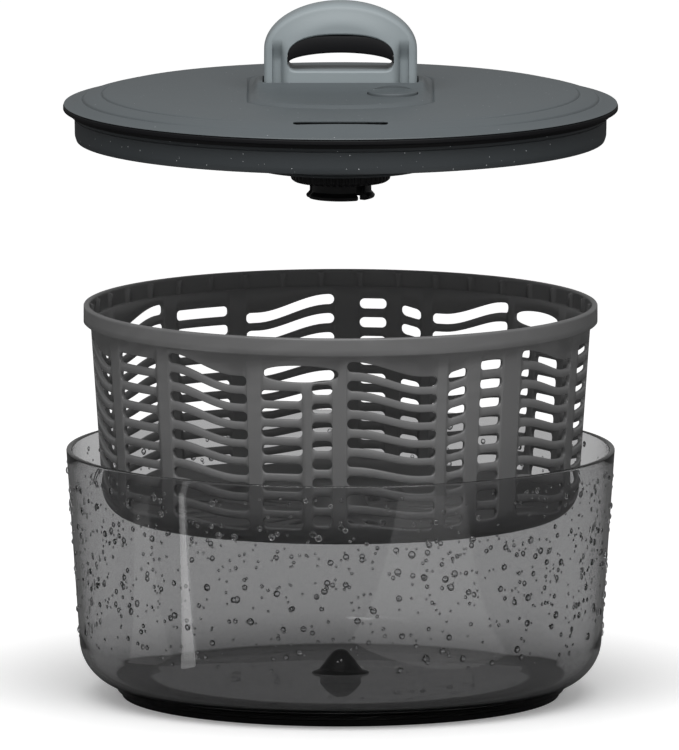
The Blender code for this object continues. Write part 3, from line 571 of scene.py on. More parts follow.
def all_slots():
    """Rows of (start, end, drop at the start, drop at the end, is a wave, is a top lens, has a lens
    above)."""
    rows = []
    for number, kind in enumerate(SECTORS):
        start = SECTOR_START + 45.0 * number
        rows.append((start + WAVE[0], start + WAVE[1], 0.0, -8.0, 1, 0, 0))
        for a, b, drop_a, drop_b in SHORT[kind]:
            rows.append((start + a, start + b, drop_a, drop_b, 0, 0, kind == "A"))
        if kind == "A":
            rows.append((start + LENS[0], start + LENS[1], LENS[2], LENS[3], 0, 1, 0))
    return np.array(rows, float)


slots = all_slots()


def column_angles():
    """Angles of the grid's columns: dense at each slot's round ends and at the rim's ribs, about 1 degree
    elsewhere."""
    ends = END_DEGREES * (1 - np.cos(np.linspace(0, np.pi / 2, 6)))
    starts, stops = slots[:, :1], slots[:, 1:2]
    ribs = np.arange(40) * RIB_PITCH + RIB_PITCH / 2
    rib_edges = ribs[:, None] + np.array([-RIB_HALF - 0.12, -RIB_HALF, RIB_HALF, RIB_HALF + 0.12])
    even = np.arange(0, 360, 1.0)
    angles = np.concatenate([(starts + ends).ravel(), (stops - ends).ravel(), rib_edges.ravel(), even])
    angles = np.unique(np.round(angles % 360, 4))
    fine = np.diff(np.concatenate([angles, angles[:1] + 360])) > 0.02
    return angles[fine]


columns = column_angles()
print("basket columns:", len(columns), "slot columns:", len(slots))


# %% Slot lines


def slot_lines(row):
    """(middle height, half height) of one row of slots at every column.
    Inside a wave the middle is level at first, drops along 3t^2 - 2t^3 and ends level again.
    The half height is that of a bar with round ends, or of an ellipse for a lens."""
    low, high, drop_a, drop_b, wave, lens, under_lens = (v[:, None] for v in slots.T)
    offset = (columns[None, :] - low) % 360
    length = high - low
    within = offset <= length
    t = np.clip(offset / length, 0, 1)
    curve = np.where(wave > 0, smooth_step(0.06, 0.86, t), t)
    drop = drop_a + (drop_b - drop_a) * curve
    to_end = np.minimum(offset, length - offset).clip(0) / END_DEGREES
    bar = HALF_SLOT * np.sqrt(1 - (1 - np.clip(to_end, 0, 1)) ** 2)
    oval = 4.0 * np.sqrt(np.clip(1 - (2 * t - 1) ** 2, 0, 1)) ** 0.8
    is_top = row == SLOT_ROWS - 1
    shown = np.where(lens > 0, is_top, ~((under_lens > 0) & is_top))
    half = np.where(within & shown, np.where(lens > 0, oval, bar), 0.0)
    use = np.argmax(np.where(within & shown, half + 1e-6, 0.0), axis=0)
    pick = (use, np.arange(len(columns)))
    covered = (within & shown).any(axis=0)
    shift = np.where(covered, drop[pick], np.nan)
    return fill_between(shift), np.where(covered, half[pick], 0.0)


def fill_between(values):
    """Values that are missing between two slots run evenly from the one before to the one after, round
    the wall."""
    known = np.flatnonzero(~np.isnan(values))
    where = np.concatenate([columns[known] - 360, columns[known], columns[known] + 360])
    return np.interp(columns, where, np.tile(values[known], 3))


# %% [markdown]
# The wall, floor corner and rim are one section carried round the axis. It is written as two matching
# lists of points, outside and inside, so that a slot's rim is just the strip between the two at the
# slot's lines. Each slot edge is eased by a small chamfer that fades with the slot.

# %% Basket section
BASKET_HIGH = 100.5
RIM_LOW = 91.7
LEDGE = 92.5
TOP_MIDDLE = 86.5
SLOT_PITCH = 9.1
EASE = 0.4
BASKET_WALL = 2.0
BEND = 14.0
BEND_CENTRE = 99.0
WALL_TOP = 118.4


def wall_face(height):
    """Outside radius of the wall at a height, from the bend's end to the rim."""
    low = BEND_CENTRE + BEND
    return low + (WALL_TOP - low) * (height - BEND) / (RIM_LOW - BEND)


def section_at(height):
    """(outside radius, outside height, inside radius, inside height): below 14 mm arcs of 14 and 12 mm
    round (99, 14), above it the leaning wall, 2 mm thick."""
    slope = np.arcsin(np.clip((height - BEND) / BEND, -1, 0))
    on_arc = height < BEND
    inside_bend = BEND - BASKET_WALL
    outer = np.where(on_arc, BEND_CENTRE + BEND * np.cos(slope), wall_face(height))
    inner = np.where(on_arc, BEND_CENTRE + inside_bend * np.cos(slope), outer - BASKET_WALL)
    return outer, height, inner, np.where(on_arc, BEND + inside_bend * np.sin(slope), height)


def basket_lines():
    """Arrays (lines, columns, 4) of outside radius, outside height, inside radius, inside height; and for
    each line the number of the row of slots that it opens, or -1."""
    ones = np.ones(len(columns))
    lines, opens, is_open = [], [], []

    def line(*section, row=-1, half=None):
        lines.append(np.stack([part * ones for part in section], axis=-1))
        opens.append(row)
        is_open.append(np.zeros(len(columns), bool) if half is None else half > 1e-6)

    line(18.0, 0.0, 18.0, 2.0)
    for ring, (radius, half) in enumerate(((44.0, 10.0), (73.0, 11.0))):
        spread = floor_slots(ring) * half
        for sign in (-1, 1):
            eased = np.minimum(EASE, spread)
            outward = radius + sign * (spread + eased)
            edge = radius + sign * spread
            near = [(outward, 0.0, outward, BASKET_WALL), (edge, eased, edge, BASKET_WALL - eased)]
            for a, b, c, d in near if sign < 0 else near[::-1]:
                line(a, b, c, d, row=100 + ring, half=spread)
    for height in BEND - BEND * np.cos(np.radians(np.linspace(0, 50, 6))):
        line(*section_at(height * ones))
    for row in range(SLOT_ROWS):
        shift, half = slot_lines(row)
        squeeze = 0.45 + 0.55 * row / (SLOT_ROWS - 1)
        middle = TOP_MIDDLE - SLOT_PITCH * (SLOT_ROWS - 1 - row) + shift * squeeze
        eased = np.minimum(EASE, half)
        if row == 0:
            for share in (0.25, 0.5, 0.75):
                line(*section_at(height + share * (middle - half - eased - height)))
        for sign in (-1, 1):
            outer, outer_z, inner, inner_z = section_at(middle + sign * half)
            near = [
                section_at(middle + sign * (half + eased)),
                (outer - eased, outer_z, inner + eased, inner_z),
            ]
            for a, b, c, d in near if sign < 0 else near[::-1]:
                line(a, b, c, d, row=row, half=half)
    return lines, opens, is_open


def floor_slots(ring):
    """Share of the opening in the floor at each column: narrow ovals, one or two to a sector."""
    openings = ([(14.3, 21.4), (0.0, 7.1)], [(0.0, 7.1), (14.3, 21.4)])[ring]
    share = np.zeros(len(columns))
    for start in SECTOR_START + 45.0 * np.arange(8):
        for low, high in openings:
            t = ((columns - start - low) % 360) / (high - low)
            oval = np.clip(1 - np.abs(2 * t - 1) ** 3, 0, 1) ** (1 / 3)
            share = np.maximum(share, np.where(t <= 1, oval, 0.0))
    return share


# %% [markdown]
# Inside the rim stand forty small ribs that the lid's drive lugs push on. They are part of the same
# grid too: the inside radius steps in by 1.6 mm across each rib, and the columns were placed at the
# ribs' edges for this.

# %% Rim and hub lines
RIB_STAND = 1.6


def rib_share():
    """1 on a rib and 0 between ribs, with a steep side."""
    away = np.abs(columns % RIB_PITCH - RIB_PITCH / 2)
    return 1 - np.clip((away - RIB_HALF) / 0.12, 0, 1)


def build_basket():
    lines, opens, is_open = basket_lines()
    rib = RIB_STAND * rib_share()
    ones = np.ones(len(columns))
    rim = [
        (WALL_TOP, RIM_LOW, WALL_TOP - BASKET_WALL, LEDGE - 0.3, 0),
        (118.5, RIM_LOW, 116.7, LEDGE, 0),
        (121.0, RIM_LOW, 118.9, LEDGE, 1),
        (121.7, RIM_LOW + 0.6, 118.9, LEDGE + 0.3, 1),
        (121.7, 95.0, 118.9, 95.0, 1),
        (121.7, 98.4, 118.9, 98.4, 1),
        (121.7, 98.8, 118.9, 98.9, 0.7),
        (121.7, 99.2, 118.9, 99.1, 0),
        (121.7, 99.8, 118.9, 99.8, 0),
        (121.45, BASKET_HIGH - 0.25, 119.15, BASKET_HIGH - 0.25, 0),
        (121.0, BASKET_HIGH, 119.6, BASKET_HIGH, 0),
    ]
    for outer_r, outer_z, inner_r, inner_z, ribbed in rim:
        inner = inner_r - ribbed * rib
        lines.append(np.stack([outer_r * ones, outer_z * ones, inner, inner_z * ones], axis=-1))
        opens.append(-1)
        is_open.append(np.zeros(len(columns), bool))
    grid = np.array(lines)
    opened = np.array(is_open)
    opens = np.array(opens)
    turn = np.radians(columns - 90.0)
    count = len(columns)
    rows = len(grid)

    def sheet(radius, height):
        return np.stack([radius * np.cos(turn), radius * np.sin(turn), height + basket_base], axis=-1)

    outer = sheet(grid[..., 0], grid[..., 1])
    inner = sheet(grid[..., 2], grid[..., 3])
    points = np.concatenate([outer.reshape(-1, 3), inner.reshape(-1, 3)])
    cells = grid_quads(rows, count, close_columns=True).reshape(rows - 1, count, 4)
    # the band between a row's second and third line is its opening
    band = (opens[:-1] >= 0) & (opens[:-1] == opens[1:])
    first = np.flatnonzero(band & (np.concatenate([[-2], opens[:-2]]) != opens[:-1]))
    gap = np.zeros(rows - 1, bool)
    gap[first + 1] = True
    shell = cells[~gap].reshape(-1, 4)
    half_count = rows * count
    # rims: below the opening the strip faces up, above it the strip faces down
    rims = []
    for cell in np.flatnonzero(gap):
        passage = opened[cell] | np.roll(opened[cell], -1)
        low = cells[cell][passage]
        a, b, c, d = low.T
        rims.append(np.stack([a, b, b + half_count, a + half_count], axis=1))
        rims.append(np.stack([d, d + half_count, c + half_count, c], axis=1))
    top = np.arange(count) + (rows - 1) * count
    after = np.roll(np.arange(count), -1) + (rows - 1) * count
    crown = np.stack([top, after, after + half_count, top + half_count], axis=1)
    quads = np.concatenate([shell, shell[:, ::-1] + half_count, *rims, crown])
    quads = np.concatenate([quads, hub_ring(half_count)])
    return surface("slotted_basket", points, quads, basket_plastic, "basket", "basket")


def hub_ring(half_count):
    """Closes the floor's inner edge, from the underside sheet to the upper one."""
    count = len(columns)
    here = np.arange(count)
    after = np.roll(here, -1)
    return np.stack([here, here + half_count, after + half_count, after], axis=1)


build_basket()

# %% Basket hub
hub_top = [(0.0, 13.2), (6.8, 12.9), (8.2, 11.6), (13.4, 3.9), (15.4, 2.1), (18.6, 2.0)]
hub_under = [(18.6, 0.2), (13.0, 0.0), (13.0, 2.2), (11.0, 2.2), (5.9, 10.8), (0.0, 11.0)]
hub_profile = divided(rounded(hub_top + hub_under, 0.8, closed=False), 2.0, closed=False)
turned("basket_hub", hub_profile, basket_base, basket_plastic, "basket", steps=96)

# %% [markdown]
# ## The lid's top cover
# The cover is a low dome with two fine terrace lines near its edge, and a mound in the middle that
# rises to the handle and guides it. Seen from above it is a height for each (x, y), so a grid of
# heights makes it. A square grid holds the mound's straight walls, and rings lead from it to the round
# edge. The slot for the handle, the button's hole and the front slit are then cut through.

# %% Heights of the cover


def terrace(x, y, radius):
    """Depth of a fine line at a radius: a 0.25 mm step and a groove 0.7 exp(-((r - R) / 0.4)^2), both
    fading towards the front and back."""
    r = np.hypot(x, y)
    sideways = smooth_step(0.3, 0.8, np.abs(x) / np.maximum(r, 1e-6))
    groove = 0.7 * np.exp(-(((r - radius) / 0.4) ** 2))
    return sideways * (0.25 * smooth_step(radius - 0.35, radius + 0.35, r) + groove)


TERRACES = (113.0, 122.2)
DOME_RADII = [0.0, 70.0, 98.0, 112.0, 119.0, 122.5, 126.0, 131.0]
DOME_HEIGHTS = [9.7, 9.35, 8.95, 8.35, 6.9, 5.9, 4.5, 3.1]


def dome(x, y):
    """Heights at a few radii joined by straight lines, averaged over 7 mm, less the two terraces."""
    fine = np.arange(-10.0, 150.0, 0.25)
    straight = np.interp(np.abs(fine), DOME_RADII, DOME_HEIGHTS)
    smooth = np.convolve(straight, np.full(29, 1 / 29), mode="same")
    return np.interp(np.hypot(x, y), fine, smooth) - sum(terrace(x, y, radius) for radius in TERRACES)


def cover_height(x, y):
    """Dome plus the mound. The mound's top falls from the handle along y. Its wall is where
    hypot(|x| / 41.5, (|y| - 40) / 26) goes from 0.93 to 1.04, straight at the sides and round at the ends,
    and a fine seam runs along its foot."""
    away = np.abs(y)
    falls = [0.0, 11.8, 13.2, 15.5, 19.0, 25.0, 33.0, 45.0, 68.0]
    top = np.interp(away, falls, [14.7, 14.7, 14.3, 13.3, 12.3, 11.5, 11.15, 10.95, 10.7])
    base = dome(x, y)
    reach = np.hypot(x / 41.5, np.maximum(away - 40.0, 0) / 26.0)
    seam = 0.9 * np.exp(-(((reach - 1.05) / 0.014) ** 2))
    return base + np.maximum(top - base, 0) * (1 - smooth_step(0.93, 1.04, reach)) - seam


# %% Build the cover
COVER_THICK = 2.0
LINE = np.array([-1.2, -0.7, -0.4, -0.2, 0.0, 0.2, 0.4, 0.7, 1.2])
EDGE_RINGS = [88.0, 93.0, 98.0, 103.0, 107.0, 110.0, *(TERRACES[0] + LINE), 115.5, 117.5, 119.5]
EDGE_RINGS += [*(TERRACES[1] + LINE), 124.6, 126.0, 127.6, 129.2, 130.3, 130.75]


def lid_cover():
    side = np.concatenate([np.arange(0, 36, 2.0), [36.0, 37.3], np.arange(38.0, 44.6, 0.4), [46.0]])
    coarse = [np.arange(0, 11, 2.5), np.arange(11, 28, 1.0), np.arange(28, 40, 3.0)]
    deep = np.concatenate([*coarse, np.arange(40, 60, 1.0), np.arange(60, 70, 0.5), [72.0]])
    xs = np.concatenate([-side[:0:-1], side])
    ys = np.concatenate([-deep[:0:-1], deep])
    x, y = np.meshgrid(xs, ys)
    patch = np.stack([x, y], axis=-1)
    edge = np.concatenate([patch[0, :-1], patch[:-1, -1], patch[-1, :0:-1], patch[:0:-1, 0]])
    direction = edge / np.linalg.norm(edge, axis=1, keepdims=True)
    lead = [edge + (direction * EDGE_RINGS[0] - edge) * t for t in np.linspace(0, 1, 8)[:-1]]
    rings = np.array(lead + [direction * radius for radius in EDGE_RINGS])
    flat_ring = rings.reshape(-1, 2)
    top_z = cover_height(flat_ring[:, 0], flat_ring[:, 1]).reshape(rings.shape[:2])
    under_z = top_z - COVER_THICK
    radius = np.linalg.norm(rings, axis=-1)
    under_z = np.where(radius > 125.5, 2.85, under_z)
    lip = [(130.98, 3.02), (130.98, 2.92), (130.7, 2.85)]
    lip_rows = [np.column_stack([direction * r, np.full(len(direction), z)]) for r, z in lip]
    upper = np.concatenate([rings, top_z[..., None]], axis=-1)
    lower = np.concatenate([rings, under_z[..., None]], axis=-1)[::-1]
    stack = np.concatenate([upper, np.array(lip_rows), lower])
    rows, count = stack.shape[:2]
    ring_quads = grid_quads(rows, count, close_columns=True)[:, ::-1]
    top_patch = np.column_stack([patch.reshape(-1, 2), cover_height(x, y).ravel()])
    under_patch = top_patch - [0, 0, COVER_THICK]
    patch_quads = grid_quads(len(ys), len(xs))
    shift = rows * count
    points = np.concatenate([stack.reshape(-1, 3), top_patch, under_patch])
    under_quads = patch_quads[:, ::-1] + len(top_patch)
    quads = np.concatenate([ring_quads, patch_quads + shift, under_quads + shift])
    return surface("lid_cover", points + [0, 0, lid_edge], quads, lid_plastic, "lid", "lid_shell")


cover = lid_cover()

# %% [markdown]
# ## Holes in the cover
# The cover has a slot that the handle slides through, a round hole for the button and a slit near the
# front where water is poured off. A shallow pocket from below thins the skin just behind the slit. They
# are cut with Booleans, which suit straight cuts through a skin.

# %% Cutting straight holes


def column_of(name, outline, low, high):
    """A straight column over a closed (x, y) outline, with its ends closed by fans from the middle."""
    outline = np.asarray(outline, float)
    middle = outline.mean(axis=0)
    fan = middle + 0 * outline
    levels = [(fan, low), (outline, low), (outline, high), (fan, high)]
    stack = np.array([np.column_stack([xy, np.full(len(xy), z)]) for xy, z in levels])
    quads = grid_quads(4, len(outline), close_columns=True)
    points = stack.reshape(-1, 3) + [0, 0, lid_edge]
    return surface(name, points, quads, None, None)


def cut_through(piece, cutter):
    """Applies an exact Boolean and removes the cutter."""
    modifier = piece.modifiers.new("hole", "BOOLEAN")
    modifier.object = cutter
    modifier.solver = "EXACT"
    graph = bpy.context.evaluated_depsgraph_get()
    made = bpy.data.meshes.new_from_object(piece.evaluated_get(graph))
    piece.modifiers.clear()
    old = piece.data
    piece.data = made
    bpy.data.meshes.remove(old)
    bpy.data.objects.remove(cutter)
    piece.data.shade_smooth()
    piece.data.set_sharp_from_angle(angle=np.radians(38))
    print(piece.name, "now has", len(made.polygons), "faces")


def circle(x, y, radius, steps=72):
    a = np.arange(steps) * 2 * np.pi / steps
    return np.stack([x + radius * np.cos(a), y + radius * np.sin(a)], axis=1)


def rounded_slot(half_width, half_depth, corner, y=0.0):
    """Outline of a box with round corners, counter-clockwise."""
    corners = [(-half_width, -half_depth), (half_width, -half_depth), (half_width, half_depth)]
    return rounded([*corners, (-half_width, half_depth)], corner, steps=8) + [0, y]


BUTTON = (24.6, -27.0)
# each cutter's outline is followed by the heights of its two ends
cut_through(cover, column_of("slot_cutter", rounded_slot(36.9, 12.6, 2.5), 2.0, 20.0))
cut_through(cover, column_of("button_cutter", circle(*BUTTON, 12.1), 2.0, 20.0))
cut_through(cover, column_of("slit_relief", rounded_slot(23.6, 2.5, 1.5, y=-106.5), 3.0, 8.1))
cut_through(cover, column_of("slit_cutter", rounded_slot(22.3, 3.0, 2.7, y=-110.0), 0.0, 14.0))

# %% [markdown]
# ## Seal, skirt and button
# The seal is a soft ring pinched between the cover and the skirt; only its black edge shows. The
# skirt hangs inside the bowl and has a fine line near its top where it is welded on. The button is a
# plain round cap with an eased edge and a shallow dish for the fingertip.

# %% Seal and skirt
seal = [(126.6, 2.55), (130.9, 2.55), (131.3, 2.2), (131.3, 0.5), (128.6, -0.3), (128.0, -1.8)]
seal.append((126.6, -2.0))
turned("edge_seal", divided(rounded(seal, 0.35), 2.0), lid_edge, seal_rubber, "lid", "rim_seal", steps=256)
skirt = [(125.9, 1.9), (125.9, -3.1), (125.4, -3.3), (125.4, -3.7), (125.9, -3.9), (125.75, -12.0)]
skirt += [(124.9, -14.3), (124.0, -14.3), (124.0, 0.1), (116.0, 0.1), (116.0, 1.9)]
skirt_radii = np.array([0.3, 0.15, 0.1, 0.1, 0.15, 2.0, 0.4, 0.3, 0.3, 0.3, 0.3])
skirt_profile = divided(rounded(skirt, skirt_radii), 3.0)
turned("lid_wall", skirt_profile, lid_edge, skirt_plastic, "lid", "lid_skirt", steps=256)


# %% Button
def turned_at(centre, *rest, **named):
    """A turned piece moved sideways in its mesh, so that its object stays at the origin."""
    piece = turned(*rest, **named)
    places = np.empty(len(piece.data.vertices) * 3, np.float32)
    piece.data.vertices.foreach_get("co", places)
    places = places.reshape(-1, 3) + np.array([centre[0] * MM, centre[1] * MM, 0], np.float32)
    piece.data.vertices.foreach_set("co", places.ravel())
    piece.data.update()
    return piece


button = [(0.0, 12.25), (6.0, 12.32), (10.6, 12.6), (11.6, 12.3), (11.6, 8.2), (3.0, 8.2)]
button += [(3.0, -19.0), (0.0, -19.0)]
button = divided(rounded(button, 0.7, closed=False), 2.0, closed=False)
turned_at(BUTTON, "button_cap", button, lid_edge, lid_plastic, "brake", "brake_button", steps=96)

# %% [markdown]
# ## The arch handle
# The handle is a slab whose depth changes over its front: deep in the middle, grooved along the legs
# and blended smooth over the crown. That is a depth for each (x, z), mirrored front to back. Columns of
# the grid end on the arch's outline, so the outline is exact. The finger hole is cut with a tube that
# flares at both ends, which leaves the hole with a rounded lip.

# %% Handle slab
ARCH_HALF = 36.2
SHOULDER = 28.3
ARCH_RISE = 23.2
ARCH_FOOT = 11.5
RECESS = 6.0
RAIL_STEP = 3.4
DEEPEST = 12.0
ROUND_EDGE = 2.4


def arch_depth(x, z):
    """Half depth of the handle at a point of its front. Along the legs it is 12 mm in the middle, falls
    round a quarter ellipse to a 6 mm recess and steps up to the 9.4 mm rail. Above them it is one face."""
    side = np.abs(x)
    over = np.maximum(z - SHOULDER, 0) / ARCH_RISE
    reach = np.sqrt((side / ARCH_HALF) ** 2 + over**2)
    slope = np.sqrt((side / ARCH_HALF**2) ** 2 + (over / ARCH_RISE) ** 2) / np.maximum(reach, 1e-6)
    turn = np.clip((side - 23.6) / 4.4, 0, 1)
    body = RECESS + (DEEPEST - RECESS) * np.sqrt(1 - turn**2)
    legs = np.maximum(body, RECESS + RAIL_STEP * smooth_step(32.1, 32.35, side))
    crown = DEEPEST - 2.4 * smooth_step(0.55, 1.0, reach)
    blend = smooth_step(24.0, 35.0, z)
    depth = legs * (1 - blend) + crown * blend
    inward = np.clip(np.maximum(1 - reach, 0) / np.maximum(slope, 1e-6) / ROUND_EDGE, 0, 1)
    return depth - ROUND_EDGE * (1 - np.sqrt(1 - (1 - inward) ** 2))


def arch_slab():
    """Front (x, -depth, z), side strip and back (x, +depth, z) over columns that end on the arch's
    outline."""
    cosine = np.sin(np.linspace(-np.pi / 2, np.pi / 2, 91)) * ARCH_HALF
    groove = [27.0, 27.4, 27.7, 27.85, 27.95, 28.0]
    groove_lines = np.array([*groove, 32.05, 32.1, 32.2, 32.3, 32.4, 35.6, 36.0])
    xs = np.unique(np.round(np.concatenate([cosine, groove_lines, -groove_lines]), 4))
    crowning = 1 - 0.14 * np.cos(np.linspace(0, np.pi / 2, 14))
    rise = np.concatenate([np.linspace(0, 0.86, 50), crowning[1:]])
    top = SHOULDER + ARCH_RISE * np.sqrt(np.clip(1 - (xs / ARCH_HALF) ** 2, 0, 1))
    x = xs[None, :] + 0 * rise[:, None]
    z = ARCH_FOOT + (top[None, :] - ARCH_FOOT) * rise[:, None]
    depth = arch_depth(x, z)
    front = np.stack([x, -depth, z], axis=-1)
    back = np.stack([x, depth, z], axis=-1)
    rows, count = x.shape
    cells = grid_quads(rows, count)
    index = np.arange(rows * count).reshape(rows, count)
    rim = np.concatenate([index[0, :-1], index[:-1, -1], index[-1, :0:-1], index[:0:-1, 0]])
    after = np.roll(rim, -1)
    size = rows * count
    side = np.stack([rim, rim + size, after + size, after], axis=1)
    quads = np.concatenate([cells, cells[:, ::-1] + size, side])
    points = np.concatenate([front.reshape(-1, 3), back.reshape(-1, 3)]) + [0, 0, lid_edge]
    return surface("arch_handle", points, quads, handle_plastic, "handle", "handle_shell")


# %% Finger hole


def hole_outline(grow=0.0):
    """Closed (x, z) outline: a flat foot with round corners under a flattened ellipse."""
    a = np.radians(np.linspace(0, 180, 61))
    half, high, foot, corner = 25.1 + grow, 37.1 + grow, 20.1 - grow, 4.0 + grow
    bend = np.sign(np.cos(a)) * np.abs(np.cos(a)) ** 0.82
    crown = np.stack([half * bend, 26.0 + (high - 26.0) * np.sin(a) ** 0.82], axis=1)
    b = np.radians(np.linspace(180, 270, 9))
    left = np.stack([-half + corner + corner * np.cos(b), foot + corner + corner * np.sin(b)], axis=1)
    right = (left * [-1, 1])[::-1]
    return np.concatenate([crown, left, right])


def lip_cutter():
    """The hole's outline carried through the handle, grown by a quarter circle near each face."""
    lip, outside = 1.3, 14.0
    turn = np.linspace(0, np.pi / 2, 6)
    flare_y = 12.05 - lip + lip * np.sin(turn)
    flare = lip * (1 - np.cos(turn))
    front = [(-outside, lip), *zip(-flare_y[::-1], flare[::-1])]
    back = [*zip(flare_y, flare), (outside, lip)]
    rows = []
    for y, grow in front + back:
        xz = hole_outline(grow)
        rows.append(np.column_stack([xz[:, 0], np.full(len(xz), y), xz[:, 1]]))
    middle = np.array([0.0, 0.0, 28.0])
    first = np.tile(middle - [0, outside, 0], (len(rows[0]), 1))
    last = np.tile(middle + [0, outside, 0], (len(rows[0]), 1))
    stack = np.array([first, *rows, last])
    quads = grid_quads(len(stack), stack.shape[1], close_columns=True)[:, ::-1]
    return surface("lip_cutter", stack.reshape(-1, 3) + [0, 0, lid_edge], quads, None, None)


handle = arch_slab()
cut_through(handle, lip_cutter())
for place in (-30.5, 30.5):
    cut_through(handle, column_of("post_bore", circle(place, 0.0, 3.2), 10.0, 33.5))
for place in (-22.5, 22.5):
    cut_through(handle, column_of("screw_bore", circle(place, 0.0, 1.6), 10.0, 17.9))

# %% [markdown]
# ## The soft grip
# A black insert fills the top of the opening and its underside arches over the fingers. Its section is
# a closed loop between a lower arch and the hole's own outline, carried from one side to the other.
# Both curves meet at the two ends, so the insert tapers to nothing there.

# %% Soft grip


def soft_grip():
    """For each share u from left to right: lower point on the arch, upper point on the hole's crown."""
    u = np.linspace(0, 1, 61)
    a = np.pi * (1 - u)
    end_x, end_z = 25.05, 22.6
    arch_z = end_z - 0.6 + 6.5 * np.sin(a) ** 0.85 + 0.6 * np.abs(np.cos(a)) ** 6
    lower = np.stack([end_x * np.cos(a), arch_z], axis=1)
    bend = np.sign(np.cos(a)) * np.abs(np.cos(a)) ** 0.62
    upper = np.stack([end_x * bend, end_z + (36.75 - end_z) * np.sin(a) ** 0.5], axis=1)
    upper[[0, -1]] = lower[[0, -1]]
    depth = 11.3
    loop = [(-depth + 0.9, 0.0), (-depth + 0.3, 0.05), (-depth, 0.14), (-depth, 0.9), (-depth + 0.4, 1.0)]
    loop += [(-y, t) for y, t in loop[::-1]]
    stack = []
    for y, t in loop:
        xz = lower + (upper - lower) * t
        stack.append(np.column_stack([xz[:, 0], np.full(len(xz), y), xz[:, 1]]))
    stack = np.array(stack)
    quads = grid_quads(len(loop), len(u), close_rows=True)[:, ::-1]
    points = stack.reshape(-1, 3) + [0, 0, lid_edge]
    return surface("soft_grip", points, quads, seal_rubber, "handle", "handle_grip")


soft_grip()

# %% [markdown]
# ## Under the lid
# The lock ring has fine upright ribs so that wet fingers can turn it off. Its radius ripples round the
# axis, which a turned surface does with one extra formula. A thin boss under the drive disc stands
# round the ring. The hub ends in three claws, which are parts of a turn: their ends are closed by a fan
# to the middle of the claw's own section.

# %% Lock ring
KNURLS, KNURL_DEPTH = 48, 0.9


def knurl(angle, r, z):
    """Radius cut by 0.9 mm between 48 upright ribs, on the outside only."""
    depth = KNURL_DEPTH * smooth_step(-0.35, 0.35, np.cos(KNURLS * angle))
    return r - depth * (r > 22.0)


lock = [(15.0, -26.3), (23.6, -26.3), (23.6, -32.6), (21.8, -34.0), (15.0, -34.0)]
lock_profile = divided(rounded(lock, 0.8), 1.5)
ring_home = ("drive_hub", "knurled_ring")
turned("lock_ring", lock_profile, lid_edge, black_plastic, *ring_home, steps=576, ripple=knurl)


# %% Boss under the drive disc
boss = [(24.6, -25.9), (41.0, -25.9), (41.0, -27.4), (24.6, -27.4)]
turned("disc_boss", divided(rounded(boss, 0.6), 2.0), lid_edge, skirt_plastic, "drive_hub", steps=128)


# %% Hub and claws
def part_turned(profile, low, high, steps=28):
    """Points and quads of a profile carried from one angle to another, both ends fanned to its middle."""
    r, z = np.asarray(profile, float).T
    a = np.radians(np.concatenate([[low], np.linspace(low, high, steps), [high]]))
    radius = np.repeat(r[:, None], len(a), axis=1)
    height = np.repeat(z[:, None], len(a), axis=1)
    radius[:, [0, -1]] = r.mean()
    height[:, [0, -1]] = z.mean()
    points = np.stack([radius * np.cos(a), radius * np.sin(a), height], axis=-1)
    return points.reshape(-1, 3), grid_quads(len(r), len(a), close_rows=True)


def claw_hub(claws=3, first_angle=-37.0, spread=98.0):
    tube = [(6.0, -34.6), (14.6, -34.6), (14.6, -14.6), (19.0, -14.6), (19.0, -12.6)]
    tube += [(11.5, -12.6), (11.5, -20.6), (6.0, -20.6)]
    claw = [(11.3, -42.0), (14.3, -42.0), (15.9, -41.5), (16.4, -40.3), (14.9, -38.7)]
    claw += [(14.6, -38.2), (14.6, -33.8), (11.3, -33.8)]
    tube = divided(rounded(tube, 0.4), 2.0)
    steps = 96
    a = np.arange(steps) * 2 * np.pi / steps
    body = np.stack([tube[:, :1] * np.cos(a), tube[:, :1] * np.sin(a), tube[:, 1:] + 0 * a], axis=-1)
    points = [body.reshape(-1, 3)]
    quads = [grid_quads(len(tube), steps, close_rows=True, close_columns=True)]
    total = body.size // 3
    section = rounded(claw, 0.5, steps=3)
    for number in range(claws):
        start = first_angle + 360.0 / claws * number
        made, cells = part_turned(section, start, start + spread)
        points.append(made)
        quads.append(cells + total)
        total += len(made)
    whole = np.concatenate(points) + [0, 0, lid_edge]
    return surface("hub_with_claws", whole, np.concatenate(quads), black_plastic, "drive_hub", "claw_hub")


claw_hub()

# %% [markdown]
# ## Coil springs
# Two springs lift the handle and one lifts the brake button. Each is steel wire wound on a rod, with its
# end turns closed up so that it stands flat. A swept tube shows the round wire.

# %% Springs
SPRING_COLUMNS = 14
TURN_STEPS = 40


def coil_spring(node, turns, wire):
    """Centre line (R cos a, R sin a, z), where z rises more slowly in the end turns; the wire's circle adds
    w cos v outwards and w sin v upwards, and shrinks to a point at both tips."""
    low, high = (np.array(corner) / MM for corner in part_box(node))
    centre = (low + high) / 2
    radius = (high[0] - low[0]) / 2 - wire
    steps = int(turns * TURN_STEPS)
    share = np.linspace(0, 1, steps + 1)
    along = smooth_step(0.0, 1.0, share) * 0.35 + share * 0.65
    rise = low[2] + wire + (high[2] - low[2] - 2 * wire) * along
    tip = np.full(steps + 1, wire)
    tip[[0, -1]] = 0.0
    a = (2 * np.pi * turns * share)[:, None]
    v = (np.arange(SPRING_COLUMNS) * 2 * np.pi / SPRING_COLUMNS)[None, :]
    out = radius + tip[:, None] * np.cos(v)
    height = rise[:, None] + tip[:, None] * np.sin(v)
    points = np.stack([centre[0] + out * np.cos(a), centre[1] + out * np.sin(a), height], axis=-1)
    quads = grid_quads(steps + 1, SPRING_COLUMNS, close_columns=True)[:, ::-1]
    piece = surface("wound_" + node, points.reshape(-1, 3), quads, steel, "lid", node)
    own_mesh(piece)


